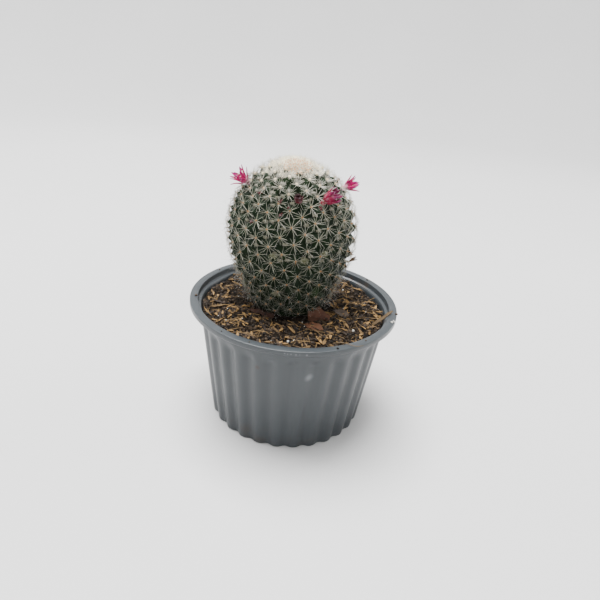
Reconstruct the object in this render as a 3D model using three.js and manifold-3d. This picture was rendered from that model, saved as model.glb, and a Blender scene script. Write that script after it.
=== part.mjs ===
// A pincushion cactus in bloom, in a fluted plastic nursery pot with husk-strewn potting mix.
// Millimetres, +Z up. The origin is the middle of the pot's base. The front of the pot faces -Y.
import * as THREE from "three";
import { ConvexHull } from "three/addons/math/ConvexHull.js";
import { mergeVertices } from "three/addons/utils/BufferGeometryUtils.js";
import Module from "manifold-3d";

const wasm = await Module();
wasm.setup();

// Pot: one thin moulding, with a wall of rounded flutes under a flat flange.
const POT_HEIGHT = 73;
const FLANGE_RADIUS = 60;
const MOUTH_RADIUS = 55.5;
const WALL_TOP_RADIUS = 54.6;
const WALL_BASE_RADIUS = 46.2;
const WALL_THICKNESS = 1;
const FLOOR_THICKNESS = 1.4;
const LIP_DROP = 3;
const LEDGE_DROP = 3.5;
const LIP_THICKNESS = 1;
const FLANGE_THICKNESS = 1.6;
const FLANGE_ROUNDING = 1.4;
const COLLAR_DROP = 5.5;
const COLLAR_RELIEF = 0.6;
const FLUTES_END = 8.5;
const FLUTES = 28;
const FLUTE_DEPTH = 1.5;
const FLUTE_PHASE = THREE.MathUtils.degToRad(8.75);
const STEPS_PER_FLUTE = 4;
const DRAIN_HOLES = 4;
const DRAIN_RADIUS = 3.5;
const DRAIN_CIRCLE = 30;

// Soil: fills the pot to a little under the rim.
const SOIL_LEVEL = 67;
const SOIL_LUMP = 0.9;
const SOIL_LUMP_SPACING = 15;
const CLEARANCE = 0.3;
const HUSKS = 46;
const GRIT_GRAINS = 8;

// Full sizes of the largest grains, and how far their middles stand over the soil.
const HUSK = { length: 7, width: 2.4, height: 2.4, rise: 0.35 };
const GRIT = { length: 2.8, width: 2.6, height: 3.2, rise: 0.45 };

// Clod: a low lump of soil on the right.
const CLOD_PLACE = [42, 2];
const CLOD_HEIGHT = 3.2;
const CLOD_REACH = 8;
const SCRAP_BED = 14;
const PLANT_BED = 7;

// Rings of the soil's top, from the wall in: radius and number of points.
const SOIL_RINGS = [[50.5, 56], [45, 48], [39, 42], [33, 36], [26, 30], [18, 20], [9, 10]];

// Husks and grit lie on this ring of soil, and keep these distances from the pieces that lie on it.
const LITTER_INNER = 27;
const LITTER_OUTER = 47.5;
const LITTER_FROM_CACTUS = 35;
const LITTER_FROM_SCRAP = 12.5;
const LITTER_FROM_SLIVER = 8;
const LITTER_FROM_FIBRE = 9;

// Cactus: the outline through the tips of its tubercles, from the soil up.
const CACTUS_PLACE = [-3.1, 7];
const CACTUS_LEAN = THREE.MathUtils.degToRad(-2.3);
const FOOT_RADIUS = 22.9;
const WIDEST_RADIUS = 36.1;
const WIDEST_HEIGHT = 46;
const CROWN_HEIGHT = 83.8;
const STEM_DEPTH = 12;
const STEM_RADIUS = 18;
const STEM_SINK = 2;
const HOLE_ABOVE = 4;
const OUTLINE_STEPS = 300;

// Powers of cosine and sine in the dome over the widest ring: 1 and 1 would make it elliptical.
const DOME_POWER_OUT = 1.04;
const DOME_POWER_UP = 1.05;

// Tubercles: spirals of cells, each turned by the same angle from the last one below it.
const TURN = THREE.MathUtils.degToRad(137.58);
const FIRST_ANGLE = THREE.MathUtils.degToRad(349.4);
const FIRST_FILL = 0.9;
const CELL_AREA = 57.9;
const CELL_MIDDLE = 50;
const CELL_SLOPE = 0.295;
const CELL_FALL = 0.64;
const CELL_AREA_LEAST = 44;
const TUBERCLE_SHARE = 0.43;
const AREOLE_SHARE = 0.125;
const AREOLE_DROP = 0.4;
const SPINE_LENGTH = 5;
const SPINE_SHARE = 0.64;
const SPINE_FOOT = 0.3;
const SPINE_GAP = 0.35;
const SPINE_RISE = THREE.MathUtils.degToRad(28);
const SPINE_TWIST = THREE.MathUtils.degToRad(15);
const LOWEST_TIP = 2.6;
const LOWEST_SPINE = 3;
const LOW_SPINE_SHARE = 0.6;

// Blooms: a tube from the axil between the tubercles, then narrow pointed tepals in whorls.
const BLOOM_NECK = 4.2;
const BLOOM_TUBE_RADIUS = 1.4;
const BLOOM_THROAT_RADIUS = 2.3;
const BLOOM_CUP = 2.2;
const TEPAL_LENGTH = 6.6;
const TEPAL_WIDTH = 1.9;
const TEPAL_THICKNESS = 0.7;
const TEPAL_OVERLAP = 0.9;
const DRIED_TUBE_RADIUS = 0.8;
const BLOOM_ROOT_DEPTH = 1.2;
const AXIL_DEPTH = 3;

// Room that spines leave round a bloom's tube, and round its tepals, which spread this far at their tips.
const TUBE_ROOM = 1.1;
const TEPAL_ROOM = 0.6;
const TEPAL_SPREAD = 5.4;

const random = () => THREE.MathUtils.seededRandom();

// A body as vertices and outward triangles, with no doubled vertex.
function shell(vertices, triangles) {
  const geometry = new THREE.BufferGeometry();
  const numbers = vertices.flatMap((v) => [v.x, v.y, v.z]);
  geometry.setAttribute("position", new THREE.Float32BufferAttribute(numbers, 3));
  geometry.setIndex(triangles.flat());
  return geometry;
}

// A skin over rings of equal count, listed from the point at the top, outwards and down to the point
// at the bottom.
function skin(firstPoint, rings, lastPoint) {
  const count = rings[0].length;
  const vertices = [firstPoint, ...rings.flat(), lastPoint];
  const last = vertices.length - 1;
  const triangles = [];
  for (let i = 0; i < count; i += 1) {
    const next = (i + 1) % count;
    triangles.push([0, 1 + i, 1 + next]);
    for (let ring = 0; ring + 1 < rings.length; ring += 1) {
      const low = 1 + ring * count;
      const high = low + count;
      triangles.push([low + i, high + i, high + next], [low + i, high + next, low + next]);
    }
    const top = last - count;
    triangles.push([top + i, last, top + next]);
  }
  return shell(vertices, triangles);
}

function solid(geometry) {
  const bare = geometry.clone();
  bare.deleteAttribute("normal");
  bare.deleteAttribute("uv");
  const merged = mergeVertices(bare, 1e-4);
  return new wasm.Manifold(new wasm.Mesh({
    numProp: 3,
    vertProperties: new Float32Array(merged.attributes.position.array),
    triVerts: new Uint32Array(merged.index.array),
  }));
}

function surface(body) {
  const mesh = body.getMesh();
  const geometry = new THREE.BufferGeometry();
  geometry.setAttribute("position", new THREE.BufferAttribute(mesh.vertProperties, 3));
  geometry.setIndex(new THREE.BufferAttribute(mesh.triVerts, 1));
  return geometry;
}

function piece(name, geometry, color, roughness) {
  const material = new THREE.MeshStandardMaterial({ color, roughness });
  geometry.computeVertexNormals();
  const mesh = new THREE.Mesh(geometry, material);
  mesh.name = name;
  return mesh;
}

function ringAt(count, place) {
  return Array.from({ length: count }, (_, i) => place((i / count) * 2 * Math.PI));
}

// Pot wall
function fluteCut(angle) {
  return FLUTE_DEPTH * 0.5 * (1 - Math.cos(FLUTES * (angle - FLUTE_PHASE)));
}

function wallRadius(z, angle) {
  const share = z / (POT_HEIGHT - LIP_DROP);
  return THREE.MathUtils.lerp(WALL_BASE_RADIUS, WALL_TOP_RADIUS, share) - fluteCut(angle);
}

function potGeometry() {
  const count = FLUTES * STEPS_PER_FLUTE;
  const plain = (radius, z) => ringAt(count, (a) => polar(radius, a, z));
  const fluted = (z, inset) => ringAt(count, (a) => polar(wallRadius(z, a) - inset, a, z));
  const lip = POT_HEIGHT - LIP_DROP;
  const ledge = POT_HEIGHT - LEDGE_DROP;
  const flutesEnd = POT_HEIGHT - FLUTES_END;
  const body = skin(
    new THREE.Vector3(0, 0, FLOOR_THICKNESS),
    [
      fluted(FLOOR_THICKNESS, WALL_THICKNESS),
      fluted(flutesEnd + 1, WALL_THICKNESS),
      plain(WALL_TOP_RADIUS - WALL_THICKNESS, ledge),
      plain(MOUTH_RADIUS, ledge),
      plain(MOUTH_RADIUS, POT_HEIGHT),
      plain(FLANGE_RADIUS - FLANGE_ROUNDING, POT_HEIGHT),
      plain(FLANGE_RADIUS, POT_HEIGHT - FLANGE_ROUNDING),
      plain(FLANGE_RADIUS, lip),
      plain(FLANGE_RADIUS - LIP_THICKNESS, lip),
      plain(MOUTH_RADIUS + WALL_THICKNESS, POT_HEIGHT - FLANGE_THICKNESS),
      plain(WALL_TOP_RADIUS + COLLAR_RELIEF, POT_HEIGHT - COLLAR_DROP),
      fluted(flutesEnd, 0),
      fluted(0, 0),
    ],
    new THREE.Vector3(0, 0, 0),
  );
  let pot = solid(body);
  for (let i = 0; i < DRAIN_HOLES; i += 1) {
    const angle = (i / DRAIN_HOLES) * 2 * Math.PI;
    const drill = new THREE.CylinderGeometry(DRAIN_RADIUS, DRAIN_RADIUS, 4 * FLOOR_THICKNESS, 10);
    drill.rotateX(Math.PI / 2);
    drill.translate(DRAIN_CIRCLE * Math.cos(angle), DRAIN_CIRCLE * Math.sin(angle), 0);
    pot = pot.subtract(solid(drill));
  }
  return surface(pot);
}

function polar(radius, angle, z) {
  return new THREE.Vector3(radius * Math.cos(angle), radius * Math.sin(angle), z);
}

// Leaf scraps: outline points in plan from their middle, turned and laid on a patch of level soil.
const LEAF_THICKNESS = 0.7;
const LEAF_SCRAPS = [
  {
    name: "leaf_scrap_left", place: [-17.5, -13.5], turn: -28, curl: 0.05, color: 0x6e3a26,
    outline: [[-8.5, -0.5], [-4, -2.6], [1, -1.4], [4.5, -2.4], [8.5, -0.5], [7, 2], [1.5, 1.2], [-4, 2.2]],
  },
  {
    name: "leaf_scrap_right", place: [14.5, -12.6], turn: 12, tilt: 8, curl: 0.035, color: 0x7a3f28,
    outline: [[-6.5, -2.5], [-1, -4.2], [5, -3.4], [7.2, 0], [4.5, 3.8], [-1, 4.6], [-5.4, 2.4]],
  },
  {
    name: "leaf_scrap_front", place: [12, -24], turn: -35, curl: 0.03, color: 0x7d4630,
    outline: [[-5.5, -1], [-2, -3.4], [3, -3], [6.2, 0.5], [2.5, 3.2], [-3, 2.8]],
  },
  {
    name: "leaf_scrap_grey", place: [28, -5], turn: -50, curl: 0.04, color: 0x4f4043,
    outline: [[-6, -1.5], [-1, -3], [4, -2.2], [6, 0.8], [1.5, 3], [-4, 2.2]],
  },
];

function leafScrap({ name, place, turn, tilt = 0, curl, color, outline }) {
  const shape = new THREE.Shape(outline.map(([x, y]) => new THREE.Vector2(x, y)));
  const geometry = new THREE.ExtrudeGeometry(shape, { depth: LEAF_THICKNESS, bevelEnabled: false });
  const places = geometry.attributes.position;
  for (let i = 0; i < places.count; i += 1) {
    const across = places.getY(i);
    const along = places.getX(i);
    places.setZ(i, places.getZ(i) + curl * across * across + 0.25 * curl * Math.abs(along));
  }
  geometry.rotateX(THREE.MathUtils.degToRad(tilt));
  geometry.computeBoundingBox();
  geometry.rotateZ(THREE.MathUtils.degToRad(turn));
  const lowest = geometry.boundingBox.min.z;
  geometry.translate(place[0], place[1], SOIL_LEVEL + CLEARANCE - lowest);
  return piece(name, surface(solid(geometry)), color, 0.8);
}

// Soil
function nearScrap(x, y, reach) {
  return LEAF_SCRAPS.some(({ place }) => Math.hypot(x - place[0], y - place[1]) < reach);
}

function soilHeight(x, y) {
  const fromCactus = Math.hypot(x - CACTUS_PLACE[0], y - CACTUS_PLACE[1]);
  const turns = 2 * Math.PI / SOIL_LUMP_SPACING;
  const lump = SOIL_LUMP * (Math.sin(turns * (x + 0.4 * y)) + Math.sin(turns * (0.9 * y - 0.5 * x)));
  const clod = Math.hypot(x - CLOD_PLACE[0], y - CLOD_PLACE[1]);
  if (clod < CLOD_REACH) {
    return SOIL_LEVEL + CLOD_HEIGHT * (1 - (clod / CLOD_REACH) ** 2) + 0.4 * lump;
  }
  if (nearScrap(x, y, SCRAP_BED) || fromCactus < FOOT_RADIUS + PLANT_BED) {
    return SOIL_LEVEL;
  }
  return SOIL_LEVEL + lump;
}

// Triangles between two closed loops of different counts, walked by angle.
function stitch(inner, outer, triangles) {
  let i = 0;
  let o = 0;
  while (i < inner.length || o < outer.length) {
    const a = inner[i % inner.length];
    const b = outer[o % outer.length];
    if (o * inner.length <= i * outer.length) {
      o += 1;
      triangles.push([a, b, outer[o % outer.length]]);
    } else {
      i += 1;
      triangles.push([a, b, inner[i % inner.length]]);
    }
  }
}

function soilBody() {
  const bottom = FLOOR_THICKNESS + CLEARANCE;
  const count = FLUTES * STEPS_PER_FLUTE;
  const inset = WALL_THICKNESS + CLEARANCE;
  const side = (z) => ringAt(count, (a) => polar(wallRadius(z, a) - inset, a, z));
  const vertices = [new THREE.Vector3(0, 0, bottom)];
  const triangles = [];
  const addRing = (points) => points.map((p) => vertices.push(p) - 1);
  const foot = addRing(side(bottom));
  const shoulder = addRing(side(POT_HEIGHT - FLUTES_END + 0.5));
  for (let i = 0; i < count; i += 1) {
    const next = (i + 1) % count;
    triangles.push([0, foot[next], foot[i]]);
    triangles.push([foot[i], foot[next], shoulder[next]], [foot[i], shoulder[next], shoulder[i]]);
  }
  let outer = shoulder;
  for (const [radius, steps] of SOIL_RINGS) {
    const points = ringAt(steps, (a) => {
      const x = radius * Math.cos(a);
      const y = radius * Math.sin(a);
      return new THREE.Vector3(x, y, soilHeight(x, y));
    });
    const ring = addRing(points);
    stitch(ring, outer, triangles);
    outer = ring;
  }
  const centre = vertices.push(new THREE.Vector3(0, 0, SOIL_LEVEL)) - 1;
  for (let i = 0; i < outer.length; i += 1) {
    triangles.push([centre, outer[i], outer[(i + 1) % outer.length]]);
  }
  return solid(shell(vertices, triangles));
}

// A long eight-sided grain, sunk in the soil below its middle.
function grain(kind, size, x, y, turn, dip) {
  const geometry = new THREE.OctahedronGeometry(1, 0);
  geometry.scale(kind.length * size / 2, kind.width * size / 2, kind.height / 2);
  geometry.rotateY(dip);
  geometry.rotateZ(turn);
  geometry.translate(x, y, soilHeight(x, y) + kind.rise);
  return solid(geometry);
}

function soilGeometry(plantMatrix) {
  THREE.MathUtils.seededRandom(7);
  let soil = soilBody();
  let laid = 0;
  while (laid < HUSKS + GRIT_GRAINS) {
    const radius = LITTER_INNER + (LITTER_OUTER - LITTER_INNER) * Math.sqrt(random());
    const angle = 2 * Math.PI * random();
    const turn = Math.PI * random();
    const dip = 0.3 * (random() - 0.5);
    const size = 0.7 + 0.5 * random();
    const x = radius * Math.cos(angle);
    const y = radius * Math.sin(angle);
    const fromCactus = Math.hypot(x - CACTUS_PLACE[0], y - CACTUS_PLACE[1]);
    const fromSliver = Math.hypot(x - SLIVER_PLACE[0], y - SLIVER_PLACE[1]);
    const fromFibre = Math.hypot(x - FIBRE_ROUTE[0].x, y - FIBRE_ROUTE[0].y);
    const clear = !nearScrap(x, y, LITTER_FROM_SCRAP) && fromCactus > LITTER_FROM_CACTUS
      && fromSliver > LITTER_FROM_SLIVER && fromFibre > LITTER_FROM_FIBRE;
    if (!clear) {
      continue;
    }
    soil = soil.add(grain(laid < HUSKS ? HUSK : GRIT, size, x, y, turn, dip));
    laid += 1;
  }
  const depth = STEM_DEPTH + CLEARANCE;
  const lowRadius = STEM_RADIUS + CLEARANCE;
  const hole = new THREE.CylinderGeometry(FOOT_RADIUS, lowRadius, depth + HOLE_ABOVE, FOOT_STEPS);
  hole.rotateX(Math.PI / 2);
  hole.translate(0, 0, (HOLE_ABOVE - depth) / 2);
  hole.applyMatrix4(plantMatrix);
  return surface(soil.subtract(solid(hole)));
}

// Cactus outline through the tubercles' tips, as samples with their arc length, the area below them
// in cells, and the height of the same point on a globe that keeps the angles of the lattice.
function cactusOutline() {
  const neck = new THREE.CubicBezierCurve(
    new THREE.Vector2(FOOT_RADIUS, 0),
    new THREE.Vector2(FOOT_RADIUS + 1.3, 12),
    new THREE.Vector2(WIDEST_RADIUS, 24),
    new THREE.Vector2(WIDEST_RADIUS, WIDEST_HEIGHT),
  ).getPoints(OUTLINE_STEPS);
  const samples = neck.map((p) => ({ r: p.x, z: p.y }));
  for (let i = 1; i < OUTLINE_STEPS; i += 1) {
    const q = (i / OUTLINE_STEPS) * Math.PI / 2;
    samples.push({
      r: WIDEST_RADIUS * Math.cos(q) ** DOME_POWER_OUT,
      z: WIDEST_HEIGHT + (CROWN_HEIGHT - WIDEST_HEIGHT) * Math.sin(q) ** DOME_POWER_UP,
    });
  }
  let s = 0;
  let cells = 0;
  let globe = 0;
  samples.forEach((sample, i) => {
    if (i > 0) {
      const before = samples[i - 1];
      const step = Math.hypot(sample.r - before.r, sample.z - before.z);
      s += step;
      cells += Math.PI * (sample.r + before.r) * step / cellArea(s);
      globe += 2 * step / (sample.r + before.r);
    }
    Object.assign(sample, { s, cells, globe });
  });
  return samples;
}

function cellArea(s) {
  const u = (s - CELL_MIDDLE) / CELL_MIDDLE;
  return Math.max(CELL_AREA * (1 - CELL_SLOPE * u - CELL_FALL * u * u), CELL_AREA_LEAST);
}

function outlineAt(samples, key, value) {
  const i = Math.max(1, samples.findIndex((sample) => sample[key] > value));
  const [a, b] = [samples[i - 1], samples[i]];
  const share = (value - a[key]) / (b[key] - a[key]);
  const mix = (name) => THREE.MathUtils.lerp(a[name], b[name], share);
  const slope = new THREE.Vector2(b.z - a.z, a.r - b.r).normalize();
  return { r: mix("r"), z: mix("z"), s: mix("s"), globe: mix("globe"), outward: slope };
}

function tubercles(samples) {
  const widest = samples[OUTLINE_STEPS].globe;
  const cells = samples[samples.length - 1].cells;
  const found = [];
  for (let k = 0; k + FIRST_FILL < cells; k += 1) {
    const at = outlineAt(samples, "cells", k + FIRST_FILL);
    if (at.s < LOWEST_TIP) {
      continue;
    }
    const angle = FIRST_ANGLE + k * TURN;
    const latitude = 2 * Math.atan(Math.exp(at.globe - widest)) - Math.PI / 2;
    found.push({
      tip: polar(at.r, angle, at.z),
      normal: polar(at.outward.x, angle, at.outward.y),
      spacing: Math.sqrt(cellArea(at.s) * 2 / Math.sqrt(3)),
      onGlobe: polar(Math.cos(latitude), angle, Math.sin(latitude)),
    });
  }
  return found;
}

// The ring where the cactus enters the soil. On the globe it lies this far below the outline's start.
const FOOT_STEPS = 24;
const FOOT_BELOW = 0.14;

function footRing(samples) {
  const widest = samples[OUTLINE_STEPS].globe;
  const latitude = 2 * Math.atan(Math.exp(-FOOT_BELOW - widest)) - Math.PI / 2;
  return ringAt(FOOT_STEPS, (angle) => ({
    tip: polar(STEM_RADIUS + 1, angle, -STEM_SINK),
    normal: polar(1, angle, 0),
    onGlobe: polar(Math.cos(latitude), angle, Math.sin(latitude)),
    foot: true,
  }));
}

// Neighbouring points joined in threes, by the hull of the points on the globe.
function joinedInThrees(points) {
  const index = new Map(points.map((point, i) => [point.onGlobe, i]));
  const hull = new ConvexHull().setFromPoints(points.map((point) => point.onGlobe));
  return hull.faces.map((face) => {
    const ends = [face.edge, face.edge.next, face.edge.next.next];
    return ends.map((edge) => index.get(edge.head().point));
  });
}

// The triple that each directed edge belongs to.
function edgeOwners(threes) {
  const owners = new Map();
  threes.forEach((three, t) => {
    three.forEach((corner, i) => owners.set(`${corner} ${three[(i + 1) % 3]}`, t));
  });
  return owners;
}

function cactusMesh(blooms) {
  const samples = cactusOutline();
  const tips = tubercles(samples);
  const feet = footRing(samples);
  const pole = { onGlobe: new THREE.Vector3(0, 0, -1), pole: true };
  const points = [...tips, ...feet, pole];
  const threes = joinedInThrees(points).filter((three) => three.every((i) => !points[i].pole));
  const vertices = [];
  const triangles = [];
  const add = (point) => vertices.push(point) - 1;

  // The bottom of the valley between three tubercles.
  const valleys = threes.map((three) => {
    const corners = three.map((i) => points[i]);
    const raised = corners.filter((corner) => !corner.foot);
    const middle = corners.reduce((sum, c) => sum.add(c.tip), new THREE.Vector3()).divideScalar(3);
    const outward = corners.reduce((sum, c) => sum.add(c.normal), new THREE.Vector3()).normalize();
    const deep = raised.reduce((sum, c) => sum + c.spacing, 0) * TUBERCLE_SHARE / 3;
    return { point: middle.addScaledVector(outward, -deep), outward };
  });
  const valleyIndex = valleys.map(({ point }) => add(point));
  const owners = edgeOwners(threes);
  const spines = [];
  const third = (t, corner) => threes[t][(threes[t].indexOf(corner) + 2) % 3];

  tips.forEach(({ tip, normal, spacing }, index) => {
    const around = [];
    let t = threes.findIndex((three) => three.includes(index));
    do {
      around.push(t);
      t = owners.get(`${index} ${third(t, index)}`);
    } while (t !== around[0]);
    const areole = around.map((valley) => {
      const away = valleys[valley].point.clone().sub(tip).projectOnPlane(normal).normalize();
      away.applyAxisAngle(normal, SPINE_TWIST);
      return add(tip.clone().addScaledVector(away, AREOLE_SHARE * spacing)
        .addScaledVector(normal, -AREOLE_DROP));
    });
    const centre = add(tip.clone());
    around.forEach((valley, i) => {
      const next = (i + 1) % around.length;
      const [low, lowNext] = [valleyIndex[valley], valleyIndex[around[next]]];
      triangles.push([low, lowNext, areole[next]], [low, areole[next], areole[i]]);
      const corners = [centre, areole[i], areole[next]];
      const root = corners.reduce((sum, c) => sum.add(vertices[c]), new THREE.Vector3()).divideScalar(3);
      const apex = spineEnd(root, tip, normal, spacing);
      const spine = { index, line: new THREE.Line3(root, apex) };
      if (blooms.some((bloom) => crosses(bloom, root, apex)) || touches(spine, spines)) {
        triangles.push(corners);
        return;
      }
      spines.push(spine);
      const end = add(apex);
      corners.forEach((corner, k) => triangles.push([corner, corners[(k + 1) % 3], end]));
    });
  });
  closeFoot(threes, owners, points, valleyIndex, tips.length, add, triangles);
  return { geometry: shell(vertices, triangles), valleys };
}

function spineEnd(root, tip, normal, spacing) {
  const along = root.clone().sub(tip).projectOnPlane(normal).normalize();
  const end = (length) => root.clone()
    .addScaledVector(along, length * Math.cos(SPINE_RISE))
    .addScaledVector(normal, length * Math.sin(SPINE_RISE));
  const length = Math.min(SPINE_LENGTH, SPINE_SHARE * spacing);
  const apex = end(length);
  if (apex.z > LOWEST_SPINE) {
    return apex;
  }
  const short = end(LOW_SPINE_SHARE * length);
  short.z = Math.max(short.z, LOWEST_SPINE);
  return short;
}

// Whether a spine comes too near one that another tubercle already carries.
function touches({ index, line }, spines) {
  const nearest = new THREE.Vector3();
  return spines.some((other) => {
    if (other.index === index || other.line.start.distanceTo(line.start) > 2.5 * SPINE_LENGTH) {
      return false;
    }
    return [0.15, 0.3, 0.45, 0.6, 0.75, 0.9, 1].some((share) => {
      const point = line.at(share, new THREE.Vector3());
      const along = other.line.closestPointToPointParameter(point, true);
      other.line.at(along, nearest);
      return nearest.distanceTo(point) < SPINE_GAP + SPINE_FOOT * (2 - share - along);
    });
  });
}

// The skirt between the lowest valleys and the foot ring, and the stem that stands in the soil.
function closeFoot(threes, owners, points, valleyIndex, firstFoot, add, triangles) {
  const foot = points.slice(firstFoot, firstFoot + FOOT_STEPS).map(({ tip }) => add(tip));
  const low = foot.map((_, i) => add(polar(STEM_RADIUS, (i / FOOT_STEPS) * 2 * Math.PI, -STEM_DEPTH)));
  const bottom = add(new THREE.Vector3(0, 0, -STEM_DEPTH));
  const isFoot = (i) => i >= firstFoot;
  const footVertex = (i) => foot[i - firstFoot];
  threes.forEach((three, t) => {
    three.forEach((a, i) => {
      const b = three[(i + 1) % 3];
      const opposite = owners.get(`${b} ${a}`);
      if (isFoot(a) && isFoot(b) && opposite === undefined) {
        triangles.push([footVertex(a), footVertex(b), valleyIndex[t]]);
      } else if (isFoot(a) && opposite !== undefined) {
        triangles.push([footVertex(a), valleyIndex[opposite], valleyIndex[t]]);
      }
    });
  });
  for (let i = 0; i < FOOT_STEPS; i += 1) {
    const next = (i + 1) % FOOT_STEPS;
    triangles.push([low[i], low[next], foot[next]], [low[i], foot[next], foot[i]]);
    triangles.push([bottom, low[next], low[i]]);
  }
}

// Blooms stand in the axils nearest to these places: an angle round the cactus and a height on it.
// Each leaves its axil square to the body and then leans to its own side.
const BLOOMS = [
  {
    name: "bloom_left", angle: -167, height: 71.9, lean: [-0.82, -0.2, 0.5],
    scale: 1, tepals: 6, color: 0xc01560,
  },
  {
    name: "bloom_front", angle: -56, height: 67.2, lean: [0.74, -0.45, 0.6],
    scale: 1.06, tepals: 6, color: 0xc01560,
  },
  {
    name: "bloom_right", angle: 7, height: 69.2, lean: [0.88, -0.05, 0.36],
    scale: 0.95, tepals: 5, color: 0xc01560,
  },
  {
    name: "bloom_closed", angle: -83, height: 69.6, lean: [0.02, -0.92, 0.3],
    scale: 0.55, closed: true, color: 0x7a1c33,
  },
  {
    name: "bloom_dried", angle: -24, height: 32.5, lean: [0.78, -0.2, 0.66],
    scale: 0.6, dried: true, color: 0x6b5243,
  },
];

function seatedBlooms(valleys) {
  return BLOOMS.map((bloom) => {
    const wanted = outlinePlace(bloom.angle, bloom.height);
    const seat = valleys.reduce((best, valley) => (
      valley.point.distanceTo(wanted) < best.point.distanceTo(wanted) ? valley : best));
    const axis = seat.outward.clone();
    const root = seat.point.clone().addScaledVector(axis, -BLOOM_ROOT_DEPTH);
    const neck = BLOOM_NECK + BLOOM_ROOT_DEPTH;
    const throat = root.clone().addScaledVector(axis, neck);
    const lean = new THREE.Vector3(...bloom.lean).normalize();
    return { ...bloom, root, throat, axis, lean, reach: bloom.scale * (TEPAL_LENGTH + BLOOM_CUP) };
  });
}

function outlinePlace(angle, height) {
  const samples = cactusOutline();
  const at = outlineAt(samples, "z", height);
  return polar(at.r - AXIL_DEPTH, THREE.MathUtils.degToRad(angle), at.z);
}

// Whether a spine would touch a bloom's tube or its spreading tepals.
function crosses(bloom, root, apex) {
  const tube = new THREE.Line3(bloom.root, bloom.throat);
  const crownEnd = bloom.throat.clone().addScaledVector(bloom.lean, bloom.reach);
  const crown = new THREE.Line3(bloom.throat, crownEnd);
  const nearest = new THREE.Vector3();
  return [0, 0.25, 0.5, 0.75, 1].some((share) => {
    const point = root.clone().lerp(apex, share);
    tube.closestPointToPoint(point, true, nearest);
    if (nearest.distanceTo(point) < BLOOM_TUBE_RADIUS + TUBE_ROOM) {
      return true;
    }
    crown.closestPointToPoint(point, true, nearest);
    const along = nearest.distanceTo(bloom.throat) / bloom.reach;
    const spread = bloom.scale * THREE.MathUtils.lerp(BLOOM_THROAT_RADIUS + TEPAL_ROOM, TEPAL_SPREAD, along);
    return nearest.distanceTo(point) < spread + TEPAL_ROOM;
  });
}

function frameAlong(direction) {
  return new THREE.Quaternion().setFromUnitVectors(new THREE.Vector3(0, 0, 1), direction);
}

function ringAcross(place, direction, radius, count) {
  const turned = frameAlong(direction);
  return ringAt(count, (a) => polar(radius, a, 0).applyQuaternion(turned).add(place));
}

// One tepal: a narrow pointed blade, flat inside and keeled outside, widest past its middle.
function tepal(length, width, thickness) {
  const across = (z, share, bow) => [
    new THREE.Vector3(bow + thickness, 0, z),
    new THREE.Vector3(bow, share * width / 2, z),
    new THREE.Vector3(bow, -share * width / 2, z),
  ];
  const rings = [across(length * 0.55, 1, 0.25), across(0, 0.75, 0)];
  return skin(new THREE.Vector3(0.9, 0, length), rings, new THREE.Vector3(0, 0, 0));
}

function tubeRadiusOf(bloom) {
  return bloom.dried ? DRIED_TUBE_RADIUS : BLOOM_TUBE_RADIUS;
}

// Whorls of tepals: splay in degrees, where they start across the throat, and their share of the length.
function whorlsOf(bloom) {
  if (bloom.closed || bloom.dried) {
    return [{ count: 5, splay: 6, start: 0.25, length: 0.8 }];
  }
  return [
    { count: bloom.tepals, splay: 34, start: 0.6, length: 0.85 },
    { count: bloom.tepals - 1, splay: 17, start: 0.3, length: 1 },
  ];
}

function bloomGeometry(bloom) {
  const { root, throat, axis, lean, scale } = bloom;
  const turned = frameAlong(lean);
  const middle = axis.clone().add(lean).normalize();
  const cup = throat.clone().addScaledVector(lean, BLOOM_CUP * scale);
  const tubeRadius = tubeRadiusOf(bloom);
  const throatRadius = BLOOM_THROAT_RADIUS * scale;
  let body = solid(skin(
    cup,
    [
      ringAcross(cup, lean, throatRadius, 6),
      ringAcross(throat, middle, tubeRadius * (bloom.dried ? 0.8 : 1.05), 6),
      ringAcross(root, axis, tubeRadius, 6),
    ],
    root,
  ));
  const width = TEPAL_WIDTH * (0.6 + 0.4 * scale);
  whorlsOf(bloom).forEach(({ count, splay, start, length }, w) => {
    for (let i = 0; i < count; i += 1) {
      const blade = tepal(TEPAL_LENGTH * length * scale + 1, width, TEPAL_THICKNESS);
      blade.rotateY(THREE.MathUtils.degToRad(splay));
      blade.translate(throatRadius * start, 0, -TEPAL_OVERLAP);
      blade.rotateZ(((i + 0.5 * w) / count) * 2 * Math.PI);
      blade.applyQuaternion(turned);
      blade.translate(cup.x, cup.y, cup.z);
      body = body.add(solid(blade));
    }
  });
  return surface(body);
}

// Wood sliver: its foot lies on the soil, and it leans over the inner edge of the rim.
const SLIVER_PLACE = [45, -16];
const SLIVER_CROSSING = THREE.MathUtils.degToRad(-12);
const SLIVER_OVERHANG = 0.3;
const SLIVER_WIDTH = 1.8;
const SLIVER_THICKNESS = 0.8;

function sliverGeometry() {
  const [x, y] = SLIVER_PLACE;
  const lift = CLEARANCE + SLIVER_THICKNESS / 2;
  const foot = new THREE.Vector3(x, y, soilHeight(x, y) + lift + 0.5);
  const edge = polar(MOUTH_RADIUS, SLIVER_CROSSING, POT_HEIGHT + lift + 0.1);
  const along = edge.clone().sub(foot).multiplyScalar(1 + SLIVER_OVERHANG);
  const direction = along.clone().normalize();
  const side = new THREE.Vector3(0, 0, 1).cross(direction).normalize();
  const over = direction.clone().cross(side);
  const section = (share, width, thickness) => {
    const middle = foot.clone().addScaledVector(along, share);
    return [[1, 0], [0, 1], [-1, 0], [0, -1]].map(([u, v]) => (
      middle.clone().addScaledVector(side, u * width / 2).addScaledVector(over, v * thickness / 2)));
  };
  return skin(
    foot.clone().add(along),
    [section(0.8, SLIVER_WIDTH, SLIVER_THICKNESS), section(0, SLIVER_WIDTH, SLIVER_THICKNESS)],
    foot,
  );
}

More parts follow.
